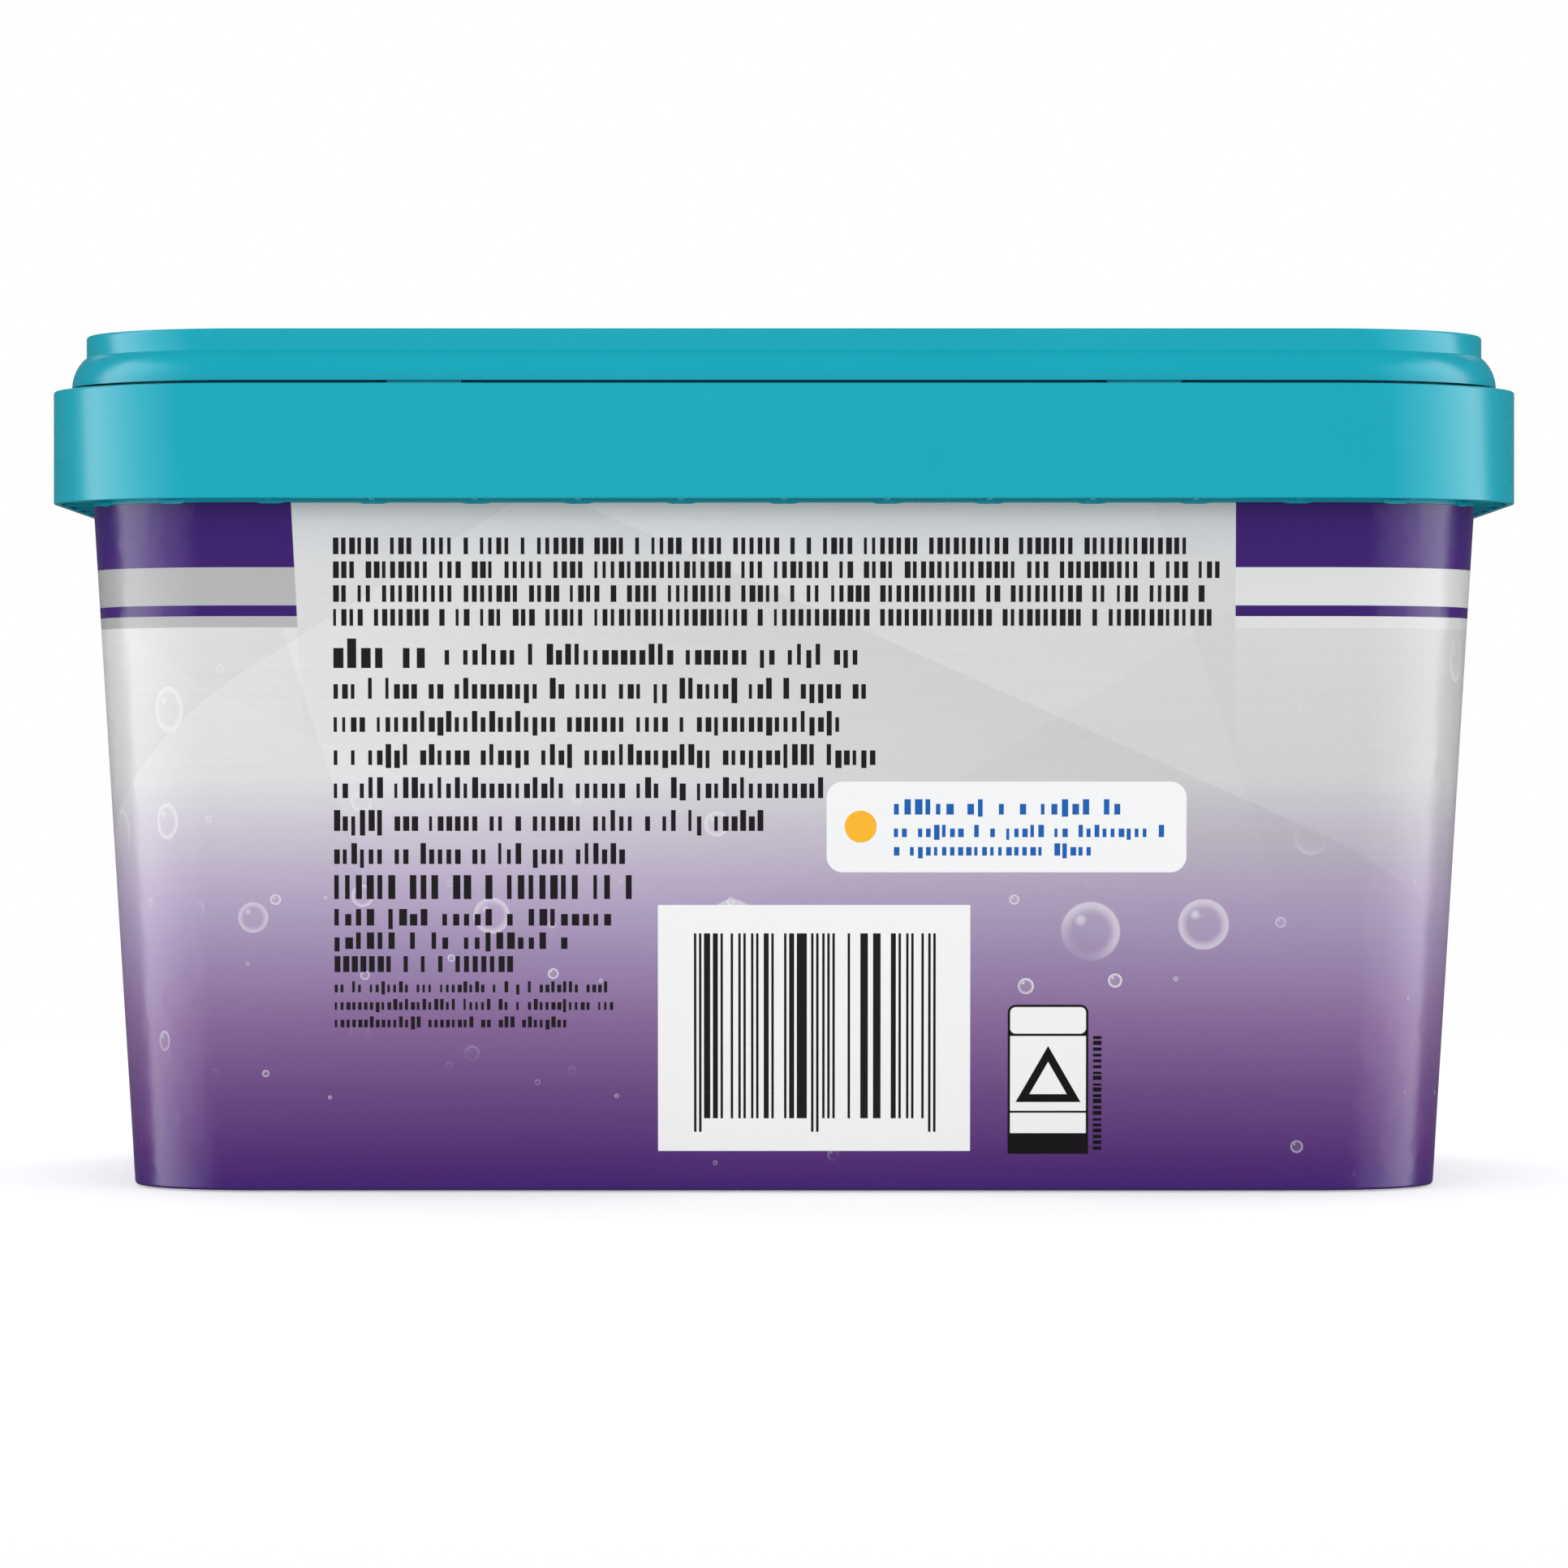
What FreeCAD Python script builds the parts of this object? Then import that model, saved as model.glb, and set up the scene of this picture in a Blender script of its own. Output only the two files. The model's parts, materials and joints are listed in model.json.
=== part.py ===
import FreeCAD, Part
import math
import os

from FreeCAD import Placement, Rotation, Vector

# A tub of dishwasher tablets: a drafted rectangular tub with rounded corners, a ribbed collar
# snapped over its neck, a flip lid pinned to the collar's back edge, and the tablets inside.
# Millimetres, +Z up. The origin is the middle of the tub's footprint, on the surface it stands on.
# -Y is the back, with the hinge and the ingredients panel. +Y is the front, with the thumb notch.

# Collar
COLLAR_WIDTH = 241.0
COLLAR_DEPTH = 156.0
COLLAR_CORNER_RADIUS = 32.7
COLLAR_RISE = 19.0
COLLAR_SKIRT_RAISE = 0.5
COLLAR_WALL = 1.2
COLLAR_EDGE_ROUND = 0.4
DECK_REACH = 9.0
SKIRT_INSET = 6.55
SKIRT_WALL = 0.8

# Ribs and snap lugs, one of each at every station round the collar
STATION_COUNT = 42
RIB_THICKNESS = 0.9
RIB_RAISE = 0.4
LUG_WIDTH = 4.85
LUG_TIP_WIDTH = 3.0
LUG_TONGUE = 0.2
LUG_NOSE = 0.5
LUG_NOSE_RAISE = 0.7
LUG_NOSE_HEIGHT = 1.6

# Tub
TUB_SHOULDER = 111.6
TUB_DRAFT_DEG = 3.4
TUB_BASE_CORNER_RADIUS = 21.5
TUB_TOP_CORNER_RADIUS = 26.1
TUB_WALL = 1.2
TUB_FLOOR = 1.5
TUB_FOOT_WIDTH = 4.0
TUB_FOOT_HEIGHT = 1.5
TUB_FOOT_ROUND = 0.6

# Lid
SEAM_GAP = 0.6
LID_INSET = 3.0
LID_WALL = 1.2
LID_HEIGHT = 8.5
SHOULDER_RADIUS = 6.41
RING_INSET = 5.4
RING_LAND = 5.8
RING_EDGE_ROUND = 0.5
PANEL_RECESS = 2.5
PLUG_DROP = 3.1
PLUG_BEAD = 0.7
PLUG_BEAD_HEIGHT = 1.4
SEAT_RING_INSET = 7.6
SEAT_RING_WALL = 0.8

# Thumb notch at the front
NOTCH_WIDTH = 40.0
NOTCH_DEPTH = 4.2
NOTCH_HEIGHT = 7.6
NOTCH_ROUND = 3.5
TAB_WIDTH = 32.0
TAB_THICKNESS = 1.3
TAB_ROUND = 3.0

# Hinge at the back: pins on the lid's arms turn in open-topped snap sockets under the deck
HINGE_INSET = 1.8
HINGE_BELOW_TOP = 0.7
HINGE_STATIONS_OUT = 3.5
PIN_RADIUS = 0.8
PIN_CLEARANCE = 0.05
PIN_REACH = 3.6
PIN_END_CLEARANCE = 0.4
ARM_WIDTH = 12.0
ARM_THICKNESS = 1.5
ARM_BAR = 1.3
ARM_CLEARANCE = 0.4
SOCKET_WALL = 0.95

# Fits between the pieces
FIT_GAP = 0.1
BITE = 1.0
SEAT_GAP = 0.15
SHOULDER_GAP = 0.05

# Tablets: the tub is moulded to hold a whole number of them each way, with room to shift and turn
TABLET_HEIGHT = 19.0
TABLET_FOOT_INSET = 5.0
TABLET_FOOT_HEIGHT = 3.2
TABLET_FOOT_FLARE = 1.6
TABLET_RIM_HEIGHT = 8.0
TABLET_CROWN_INSET = 6.0
TABLET_CROWN_HEIGHT = 4.0
TABLET_CROWN_FLARE = 2.0
TABLET_CORNER = 7.0
TABLET_COLUMN_COUNT = 5
TABLET_ROW_COUNT = 3
FULL_LAYER_COUNT = 3
TOP_LAYER_COUNT = 9
COLUMN_ROOM = 4.8
ROW_ROOM = 7.6
END_ROOM = 4.2
SIDE_ROOM = 6.7
LAYER_GAP = 0.15
TABLET_SHIFT = 0.8
TABLET_TURN_DEG = 7.0

HALF_WIDTH = COLLAR_WIDTH / 2
HALF_DEPTH = COLLAR_DEPTH / 2
CORE_X = HALF_WIDTH - COLLAR_CORNER_RADIUS
CORE_Y = HALF_DEPTH - COLLAR_CORNER_RADIUS
UP = Vector(0, 0, 1)

COLLAR_TOP = TUB_SHOULDER + COLLAR_RISE
COLLAR_BOTTOM = TUB_SHOULDER + COLLAR_SKIRT_RAISE
DECK_UNDERSIDE = COLLAR_TOP - COLLAR_WALL
SKIRT_BOTTOM = TUB_SHOULDER + SHOULDER_GAP
SKIRT_INNER_INSET = SKIRT_INSET + SKIRT_WALL
RIB_BOTTOM = TUB_SHOULDER + RIB_RAISE
LUG_NOSE_BOTTOM = TUB_SHOULDER + LUG_NOSE_RAISE
NECK_INSET = SKIRT_INNER_INSET + FIT_GAP
FLOOR_TOP = TUB_FOOT_HEIGHT + TUB_FLOOR
DRAFT_SLOPE = math.tan(math.radians(TUB_DRAFT_DEG))
MOUTH_FROM = TUB_SHOULDER - (NECK_INSET - SKIRT_INSET) / DRAFT_SLOPE
LID_BOTTOM = COLLAR_TOP + SEAM_GAP
RING_TOP = LID_BOTTOM + LID_HEIGHT
PLUG_BOTTOM = COLLAR_TOP - PLUG_DROP


# Outlines and rings. An inset is measured inwards from the collar's outer face.

def rounded_rectangle(half_x, half_y, radius, z):
    """A closed wire: a rectangle with arcs of one radius at its corners."""
    edges = []
    inner_x = half_x - radius
    inner_y = half_y - radius
    centres = [(inner_x, -inner_y), (inner_x, inner_y), (-inner_x, inner_y), (-inner_x, -inner_y)]
    previous_end = None
    for turn, (x, y) in enumerate(centres):
        points = []
        for eighth in range(3):
            angle = math.radians(90 * turn - 90 + 45 * eighth)
            points.append(Vector(x + radius * math.cos(angle), y + radius * math.sin(angle), z))
        if previous_end is not None:
            edges.append(Part.LineSegment(previous_end, points[0]).toShape())
        edges.append(Part.Arc(*points).toShape())
        previous_end = points[2]
    edges.append(Part.LineSegment(previous_end, edges[0].Vertexes[0].Point).toShape())
    return Part.Wire(edges)


def inset_outline(inset, z):
    return rounded_rectangle(HALF_WIDTH - inset, HALF_DEPTH - inset, COLLAR_CORNER_RADIUS - inset, z)


def inset_plate(inset, bottom, top):
    return Part.Face(inset_outline(inset, bottom)).extrude(UP * (top - bottom))


def section_point(inset, z):
    """A point of a ring's section, drawn in the XZ plane: X is the distance out from the corner's axis."""
    return Vector(COLLAR_CORNER_RADIUS - inset, 0, z)


def rounded_polygon(corners):
    """A closed section of straight edges. Each corner is (inset, z) or (inset, z, round)."""
    points = [section_point(corner[0], corner[1]) for corner in corners]
    rounds = [corner[2] if len(corner) > 2 else 0.0 for corner in corners]
    edges = []
    ends = []
    for i, point in enumerate(points):
        before = (points[i - 1] - point).normalize()
        after = (points[(i + 1) % len(points)] - point).normalize()
        if rounds[i] == 0:
            ends.append((point, point))
            continue
        half_angle = before.getAngle(after) / 2
        reach = rounds[i] / math.tan(half_angle)
        start = point + before * reach
        end = point + after * reach
        bisector = (before + after).normalize()
        centre = point + bisector * (rounds[i] / math.sin(half_angle))
        middle = centre - bisector * rounds[i]
        edges.append((i, Part.Arc(start, middle, end).toShape()))
        ends.append((start, end))
    arcs = dict(edges)
    chain = []
    for i in range(len(points)):
        if i in arcs:
            chain.append(arcs[i])
        chain.append(Part.LineSegment(ends[i][1], ends[(i + 1) % len(points)][0]).toShape())
    return Part.Wire(chain)


def ring(section):
    """The solid that a section makes when it runs once round the rounded rectangle."""
    face = Part.Face(section)
    corner = face.revolve(Vector(0, 0, 0), UP, 90)
    side_lengths = [2 * CORE_Y, 2 * CORE_X, 2 * CORE_Y, 2 * CORE_X]
    corner_axes = [(CORE_X, CORE_Y), (-CORE_X, CORE_Y), (-CORE_X, -CORE_Y), (CORE_X, -CORE_Y)]
    pieces = []
    for turn in range(4):
        placement = Placement(Vector(*corner_axes[turn], 0), Rotation(UP, 90 * turn))
        side = face.extrude(Vector(0, -side_lengths[turn], 0))
        for piece in (corner, side):
            placed = piece.copy()
            placed.Placement = placement
            pieces.append(placed)
    return pieces[0].multiFuse(pieces[1:]).removeSplitter()


# Stations: places at one spacing round the collar's inner skirt

def station_placements(count, inset):
    """Placements round a wall, from the middle of the back. Local X points outwards, Y along the wall."""
    radius = COLLAR_CORNER_RADIUS - inset
    arc = math.pi / 2 * radius
    lengths = [2 * CORE_X + arc, 2 * CORE_Y + arc, 2 * CORE_X + arc, 2 * CORE_Y + arc]
    starts = [(-CORE_X, -CORE_Y), (CORE_X, -CORE_Y), (CORE_X, CORE_Y), (-CORE_X, CORE_Y)]
    directions = [(1, 0), (0, 1), (-1, 0), (0, -1)]
    pitch = sum(lengths) / count
    placements = []
    for i in range(count):
        along = (CORE_X + i * pitch) % sum(lengths)
        side = 0
        while along > lengths[side]:
            along -= lengths[side]
            side += 1
        straight = min(along, lengths[side] - arc)
        turned = math.degrees((along - straight) / radius)
        x = starts[side][0] + directions[side][0] * straight
        y = starts[side][1] + directions[side][1] * straight
        placements.append(Placement(Vector(x, y, 0), Rotation(UP, -90 + 90 * side + turned)))
    return placements, pitch


def radial_prism(corners, thickness):
    """A plate whose (inset, z) outline stands on a station, with its thickness along the wall."""
    points = [section_point(inset, z) for inset, z in corners]
    face = Part.Face(Part.makePolygon(points + [points[0]]))
    plate = face.extrude(Vector(0, thickness, 0))
    plate.translate(Vector(0, -thickness / 2, 0))
    return plate


def wall_prism(corners, inset_outer, inset_inner):
    """A plate whose (along the wall, z) outline faces outwards, from one inset to another."""
    x = COLLAR_CORNER_RADIUS - inset_inner
    points = [Vector(x, along, z) for along, z in corners]
    face = Part.Face(Part.makePolygon(points + [points[0]]))
    return face.extrude(Vector(inset_inner - inset_outer, 0, 0))


def placed_copies(shape, placements):
    copies = []
    for placement in placements:
        copy = shape.copy()
        copy.Placement = placement.multiply(copy.Placement)
        copies.append(copy)
    return copies


STATIONS, STATION_PITCH = station_placements(STATION_COUNT, SKIRT_INSET)


def back_box(x_from, x_to, inset_from, inset_to, bottom, top):
    """A box against the back wall, given by its insets from the collar's back face."""
    corner = Vector(x_from, -HALF_DEPTH + inset_from, bottom)
    return Part.makeBox(x_to - x_from, inset_to - inset_from, top - bottom, corner)


def front_box(half_x, inset_from, inset_to, bottom, top):
    corner = Vector(-half_x, HALF_DEPTH - inset_to, bottom)
    return Part.makeBox(2 * half_x, inset_to - inset_from, top - bottom, corner)


# Hinge line, shared by the collar's sockets and the lid's pins
HINGE_Y = -HALF_DEPTH + HINGE_INSET
HINGE_Z = COLLAR_TOP - HINGE_BELOW_TOP
HINGE_XS = [-HINGE_STATIONS_OUT * STATION_PITCH, HINGE_STATIONS_OUT * STATION_PITCH]
ARM_INNER_INSET = LID_INSET + LID_WALL + ARM_THICKNESS - 0.3
PIN_HALF_LENGTH = ARM_WIDTH / 2 + PIN_REACH


def hinge_cylinder(x_middle, half_length, radius):
    start = Vector(x_middle - half_length, HINGE_Y, HINGE_Z)
    return Part.makeCylinder(radius, 2 * half_length, start, Vector(1, 0, 0))


# Tub body: outer form by draft, hollow inside, with a neck that the collar snaps over

def tub_half_sizes(z, wall):
    """Half width, half depth and corner radius of the drafted wall at a height, less a wall."""
    narrowing = (TUB_SHOULDER - z) * DRAFT_SLOPE
    share = z / TUB_SHOULDER
    radius = TUB_BASE_CORNER_RADIUS + share * (TUB_TOP_CORNER_RADIUS - TUB_BASE_CORNER_RADIUS)
    inset = SKIRT_INSET + narrowing + wall
    return HALF_WIDTH - inset, HALF_DEPTH - inset, radius - wall


def tub_outline(z, wall):
    half_x, half_y, radius = tub_half_sizes(z, wall)
    return rounded_rectangle(half_x, half_y, radius, z)


def make_tub_body():
    body = Part.makeLoft([tub_outline(0, 0), tub_outline(TUB_SHOULDER, 0)], True, True)
    foot_edges = [edge for edge in body.Edges if edge.BoundBox.ZMax < 0.01]
    body = body.makeFillet(TUB_FOOT_ROUND, foot_edges)

    rim_top = DECK_UNDERSIDE - FIT_GAP
    body = body.fuse(inset_plate(NECK_INSET, TUB_SHOULDER - BITE, rim_top))

    hollow = Part.makeLoft([tub_outline(FLOOR_TOP, TUB_WALL), tub_outline(MOUTH_FROM, TUB_WALL)], True, True)
    mouth = Part.Face(tub_outline(MOUTH_FROM, TUB_WALL)).extrude(UP * (rim_top + BITE - MOUTH_FROM))
    body = body.cut(hollow).cut(mouth)

    under = Part.Face(tub_outline(0, TUB_FOOT_WIDTH)).extrude(UP * TUB_FOOT_HEIGHT)
    body = body.cut(under)

    groove_bottom = LUG_NOSE_BOTTOM - 3 * FIT_GAP
    groove_top = LUG_NOSE_BOTTOM + LUG_NOSE_HEIGHT + 3 * FIT_GAP
    groove_inset = SKIRT_INNER_INSET + LUG_NOSE + FIT_GAP
    groove = inset_plate(NECK_INSET - BITE, groove_bottom, groove_top)
    groove = groove.cut(inset_plate(groove_inset, groove_bottom, groove_top))
    body = body.cut(groove)

    spare = SHOULDER_GAP
    notch_bottom = TUB_SHOULDER - LUG_TONGUE
    corners = [
        (-LUG_WIDTH / 2 - spare, TUB_SHOULDER + 0.5),
        (-LUG_WIDTH / 2 - spare, TUB_SHOULDER),
        (-LUG_TIP_WIDTH / 2 - spare, notch_bottom),
        (LUG_TIP_WIDTH / 2 + spare, notch_bottom),
        (LUG_WIDTH / 2 + spare, TUB_SHOULDER),
        (LUG_WIDTH / 2 + spare, TUB_SHOULDER + 0.5),
    ]
    notch = wall_prism(corners, SKIRT_INSET - 0.5, NECK_INSET)
    return body.cut(Part.makeCompound(placed_copies(notch, STATIONS)))


# Collar: a double skirt under a flat deck, with ribs behind its snap lugs

def make_collar():
    section = rounded_polygon([
        (0, COLLAR_BOTTOM, COLLAR_EDGE_ROUND / 2),
        (0, COLLAR_TOP, COLLAR_EDGE_ROUND),
        (DECK_REACH, COLLAR_TOP, COLLAR_EDGE_ROUND),
        (DECK_REACH, DECK_UNDERSIDE),
        (SKIRT_INNER_INSET, DECK_UNDERSIDE),
        (SKIRT_INNER_INSET, SKIRT_BOTTOM),
        (SKIRT_INSET, SKIRT_BOTTOM),
        (SKIRT_INSET, DECK_UNDERSIDE),
        (COLLAR_WALL, DECK_UNDERSIDE),
        (COLLAR_WALL, COLLAR_BOTTOM),
    ])
    collar = ring(section)

    bite = COLLAR_WALL / 2
    rib = radial_prism([
        (COLLAR_WALL - bite, COLLAR_BOTTOM + bite),
        (COLLAR_WALL, RIB_BOTTOM),
        (SKIRT_INSET, RIB_BOTTOM),
        (SKIRT_INSET + SKIRT_WALL / 2, RIB_BOTTOM),
        (SKIRT_INSET + SKIRT_WALL / 2, DECK_UNDERSIDE + bite),
        (COLLAR_WALL - bite, DECK_UNDERSIDE + bite),
    ], RIB_THICKNESS)
    tongue = wall_prism([
        (-LUG_WIDTH / 2, SKIRT_BOTTOM),
        (-LUG_TIP_WIDTH / 2, SKIRT_BOTTOM - LUG_TONGUE),
        (LUG_TIP_WIDTH / 2, SKIRT_BOTTOM - LUG_TONGUE),
        (LUG_WIDTH / 2, SKIRT_BOTTOM),
        (LUG_WIDTH / 2, SKIRT_BOTTOM + bite),
        (-LUG_WIDTH / 2, SKIRT_BOTTOM + bite),
    ], SKIRT_INSET, SKIRT_INNER_INSET)
    nose_top = LUG_NOSE_BOTTOM + LUG_NOSE_HEIGHT
    nose = radial_prism([
        (SKIRT_INNER_INSET - SKIRT_WALL / 2, LUG_NOSE_BOTTOM),
        (SKIRT_INNER_INSET, LUG_NOSE_BOTTOM),
        (SKIRT_INNER_INSET + LUG_NOSE, LUG_NOSE_BOTTOM + LUG_NOSE_HEIGHT / 2),
        (SKIRT_INNER_INSET + LUG_NOSE, nose_top - 0.2),
        (SKIRT_INNER_INSET, nose_top),
        (SKIRT_INNER_INSET - SKIRT_WALL / 2, nose_top),
    ], LUG_WIDTH)
    for feature in (rib, tongue, nose):
        collar = collar.fuse(Part.makeCompound(placed_copies(feature, STATIONS)))

    collar = add_hinge_sockets(collar)
    collar = add_thumb_notch(collar)
    return collar.removeSplitter()


def add_hinge_sockets(collar):
    socket_bottom = HINGE_Z - PIN_RADIUS - PIN_CLEARANCE - SOCKET_WALL
    socket_inner = HINGE_INSET + PIN_RADIUS + PIN_CLEARANCE + SOCKET_WALL
    window_half = ARM_WIDTH / 2 + ARM_CLEARANCE
    bore_half = PIN_HALF_LENGTH + PIN_END_CLEARANCE
    socket_half = bore_half + SOCKET_WALL
    window_outer = HINGE_INSET - PIN_RADIUS - PIN_CLEARANCE - 0.05
    window_inner = ARM_INNER_INSET + ARM_CLEARANCE
    window_bottom = HINGE_Z - PIN_RADIUS - ARM_CLEARANCE
    for x in HINGE_XS:
        block = back_box(x - socket_half, x + socket_half, COLLAR_WALL / 2, socket_inner,
                         socket_bottom, DECK_UNDERSIDE + COLLAR_WALL / 2)
        collar = collar.fuse(block)
        window = back_box(x - window_half, x + window_half, window_outer, window_inner,
                          window_bottom, COLLAR_TOP + 1.0)
        under_window = back_box(x - window_half, x + window_half, COLLAR_WALL, socket_inner + 0.1,
                                socket_bottom - 0.1, window_bottom + 0.1)
        collar = collar.cut(window).cut(under_window)
        collar = collar.cut(hinge_cylinder(x, bore_half, PIN_RADIUS + PIN_CLEARANCE))
    return collar


def add_thumb_notch(collar):
    half = NOTCH_WIDTH / 2
    bottom = COLLAR_TOP - NOTCH_HEIGHT
    shell = front_box(half + COLLAR_WALL, COLLAR_WALL / 2, NOTCH_DEPTH + COLLAR_WALL,
                      bottom - COLLAR_WALL, COLLAR_TOP)
    notch = front_box(half, -1.0, NOTCH_DEPTH, bottom, COLLAR_TOP + 1.0)
    lower_corners = [edge for edge in notch.Edges
                     if edge.BoundBox.ZMax < bottom + 0.01 and edge.BoundBox.XLength < 0.01]
    back_edges = [edge for edge in notch.Edges
                  if edge.BoundBox.ZLength > 1 and edge.BoundBox.YMax < HALF_DEPTH]
    notch = notch.makeFillet(NOTCH_ROUND, lower_corners + back_edges)
    return collar.fuse(shell).cut(notch)


# Lid: rounded shoulder, raised stacking ring round a sunk panel, plug below, hinge arms and thumb tab

def make_lid():
    shoulder_centre_inset = LID_INSET + SHOULDER_RADIUS
    ring_foot = LID_BOTTOM + math.sqrt(SHOULDER_RADIUS ** 2 - (shoulder_centre_inset - RING_INSET) ** 2)
    inner_radius = SHOULDER_RADIUS - LID_WALL
    ring_hollow = RING_INSET + LID_WALL
    inner_foot = LID_BOTTOM + math.sqrt(inner_radius ** 2 - (shoulder_centre_inset - ring_hollow) ** 2)
    ring_inner = RING_INSET + RING_LAND
    plug_outer = ring_inner - LID_WALL
    land_underside = RING_TOP - LID_WALL
    seat_bottom = COLLAR_TOP + SEAT_GAP
    bead_top = PLUG_BOTTOM + PLUG_BEAD_HEIGHT

    def arc_between(radius, inset_from, z_from, inset_to, z_to):
        angle_from = math.atan2(z_from - LID_BOTTOM, shoulder_centre_inset - inset_from)
        angle_to = math.atan2(z_to - LID_BOTTOM, shoulder_centre_inset - inset_to)
        angle = (angle_from + angle_to) / 2
        middle = section_point(shoulder_centre_inset - radius * math.cos(angle),
                               LID_BOTTOM + radius * math.sin(angle))
        start = section_point(inset_from, z_from)
        end = section_point(inset_to, z_to)
        return Part.Arc(start, middle, end).toShape()

    outer_shoulder = arc_between(SHOULDER_RADIUS, LID_INSET, LID_BOTTOM, RING_INSET, ring_foot)
    inner_shoulder = arc_between(inner_radius, ring_hollow, inner_foot, LID_INSET + LID_WALL, LID_BOTTOM)
    corners = [
        (RING_INSET, ring_foot),
        (RING_INSET, RING_TOP - RING_EDGE_ROUND),
        (RING_INSET + RING_EDGE_ROUND, RING_TOP),
        (ring_inner - RING_EDGE_ROUND, RING_TOP),
        (ring_inner, RING_TOP - RING_EDGE_ROUND),
        (ring_inner, PLUG_BOTTOM),
        (plug_outer, PLUG_BOTTOM),
        (plug_outer - PLUG_BEAD, PLUG_BOTTOM + PLUG_BEAD_HEIGHT / 2),
        (plug_outer, bead_top),
        (plug_outer, land_underside),
        (SEAT_RING_INSET + SEAT_RING_WALL, land_underside),
        (SEAT_RING_INSET + SEAT_RING_WALL, seat_bottom),
        (SEAT_RING_INSET, seat_bottom),
        (SEAT_RING_INSET, land_underside),
        (ring_hollow, land_underside),
        (ring_hollow, inner_foot),
    ]
    points = [section_point(inset, z) for inset, z in corners]
    round_starts = {1: (RING_INSET + RING_EDGE_ROUND, RING_TOP - RING_EDGE_ROUND, -1),
                    3: (ring_inner - RING_EDGE_ROUND, RING_TOP - RING_EDGE_ROUND, 1)}
    chain = [outer_shoulder]
    for i in range(len(points) - 1):
        if i in round_starts:
            inset, z, way = round_starts[i]
            reach = RING_EDGE_ROUND * math.sqrt(0.5)
            middle = section_point(inset + way * reach, z + reach)
            chain.append(Part.Arc(points[i], middle, points[i + 1]).toShape())
        else:
            chain.append(Part.LineSegment(points[i], points[i + 1]).toShape())
    chain.append(inner_shoulder)
    chain.append(Part.LineSegment(section_point(LID_INSET + LID_WALL, LID_BOTTOM),
                                  section_point(LID_INSET, LID_BOTTOM)).toShape())
    lid = ring(Part.Wire(chain))

    panel_top = RING_TOP - PANEL_RECESS
    lid = lid.fuse(inset_plate(ring_inner - LID_WALL / 2, panel_top - LID_WALL, panel_top))

    tab = front_box(TAB_WIDTH / 2, 0, LID_INSET + LID_WALL / 2, LID_BOTTOM, LID_BOTTOM + TAB_THICKNESS)
    tab_corners = [edge for edge in tab.Edges
                   if edge.BoundBox.ZLength > 0.5 and edge.BoundBox.YMin > HALF_DEPTH - 0.01]
    lid = lid.fuse(tab.makeFillet(TAB_ROUND - 0.01, tab_corners))

    for x in HINGE_XS:
        lid = lid.fuse(make_hinge_arm(x))
    return lid.removeSplitter()


def make_hinge_arm(x_middle):
    bar_bottom = HINGE_Z - PIN_RADIUS + FIT_GAP / 2
    bar_top = bar_bottom + ARM_BAR
    foot_inset = LID_INSET + LID_WALL * 0.75
    outline = [
        (HINGE_INSET, bar_bottom),
        (ARM_INNER_INSET, bar_bottom),
        (ARM_INNER_INSET, LID_BOTTOM + 0.6 * SHOULDER_RADIUS),
        (foot_inset, LID_BOTTOM + 0.22 * SHOULDER_RADIUS),
        (foot_inset, bar_top),
        (HINGE_INSET, bar_top),
    ]
    points = [Vector(x_middle - ARM_WIDTH / 2, -HALF_DEPTH + inset, z) for inset, z in outline]
    arm = Part.Face(Part.makePolygon(points + [points[0]])).extrude(Vector(ARM_WIDTH, 0, 0))
    return arm.fuse(hinge_cylinder(x_middle, PIN_HALF_LENGTH, PIN_RADIUS))


# Tablets: film pouches, widest at the seam of the film, laid in layers

def tablet_pitches():
    """Spacing along the tub and across it, from the room inside the walls at the floor."""
    half_x, half_y, radius = tub_half_sizes(FLOOR_TOP, TUB_WALL)
    along = 2 * (half_x - END_ROOM) + COLUMN_ROOM
    across = 2 * (half_y - SIDE_ROOM) + ROW_ROOM
    return along / TABLET_COLUMN_COUNT, across / TABLET_ROW_COUNT


COLUMN_PITCH, ROW_PITCH = tablet_pitches()
TABLET_LENGTH = COLUMN_PITCH - COLUMN_ROOM
TABLET_WIDTH = ROW_PITCH - ROW_ROOM


def tablet_corners(inset, z):
    half_x = TABLET_LENGTH / 2 - inset
    half_y = TABLET_WIDTH / 2 - inset
    cut = TABLET_CORNER - inset * (2 - math.sqrt(2))
    corners = [
        (half_x, -half_y + cut), (half_x, half_y - cut), (half_x - cut, half_y), (-half_x + cut, half_y),
        (-half_x, half_y - cut), (-half_x, -half_y + cut), (-half_x + cut, -half_y), (half_x - cut, -half_y),
    ]
    return [Vector(x, y, z) for x, y in corners]


def flat_face(points):
    return Part.Face(Part.makePolygon(points + [points[0]]))


def make_tablet():
    rings = [
        tablet_corners(TABLET_FOOT_INSET, 0.0),
        tablet_corners(TABLET_FOOT_FLARE, TABLET_FOOT_HEIGHT),
        tablet_corners(0.0, TABLET_RIM_HEIGHT),
        tablet_corners(TABLET_CROWN_FLARE, TABLET_HEIGHT - TABLET_CROWN_HEIGHT),
        tablet_corners(TABLET_CROWN_INSET, TABLET_HEIGHT),
    ]
    faces = [flat_face(rings[0]), flat_face(rings[-1])]
    for lower, upper in zip(rings, rings[1:]):
        for i in range(len(lower)):
            j = (i + 1) % len(lower)
            faces.append(flat_face([lower[i], lower[j], upper[j], upper[i]]))
    return Part.Solid(Part.Shell(faces))


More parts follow.
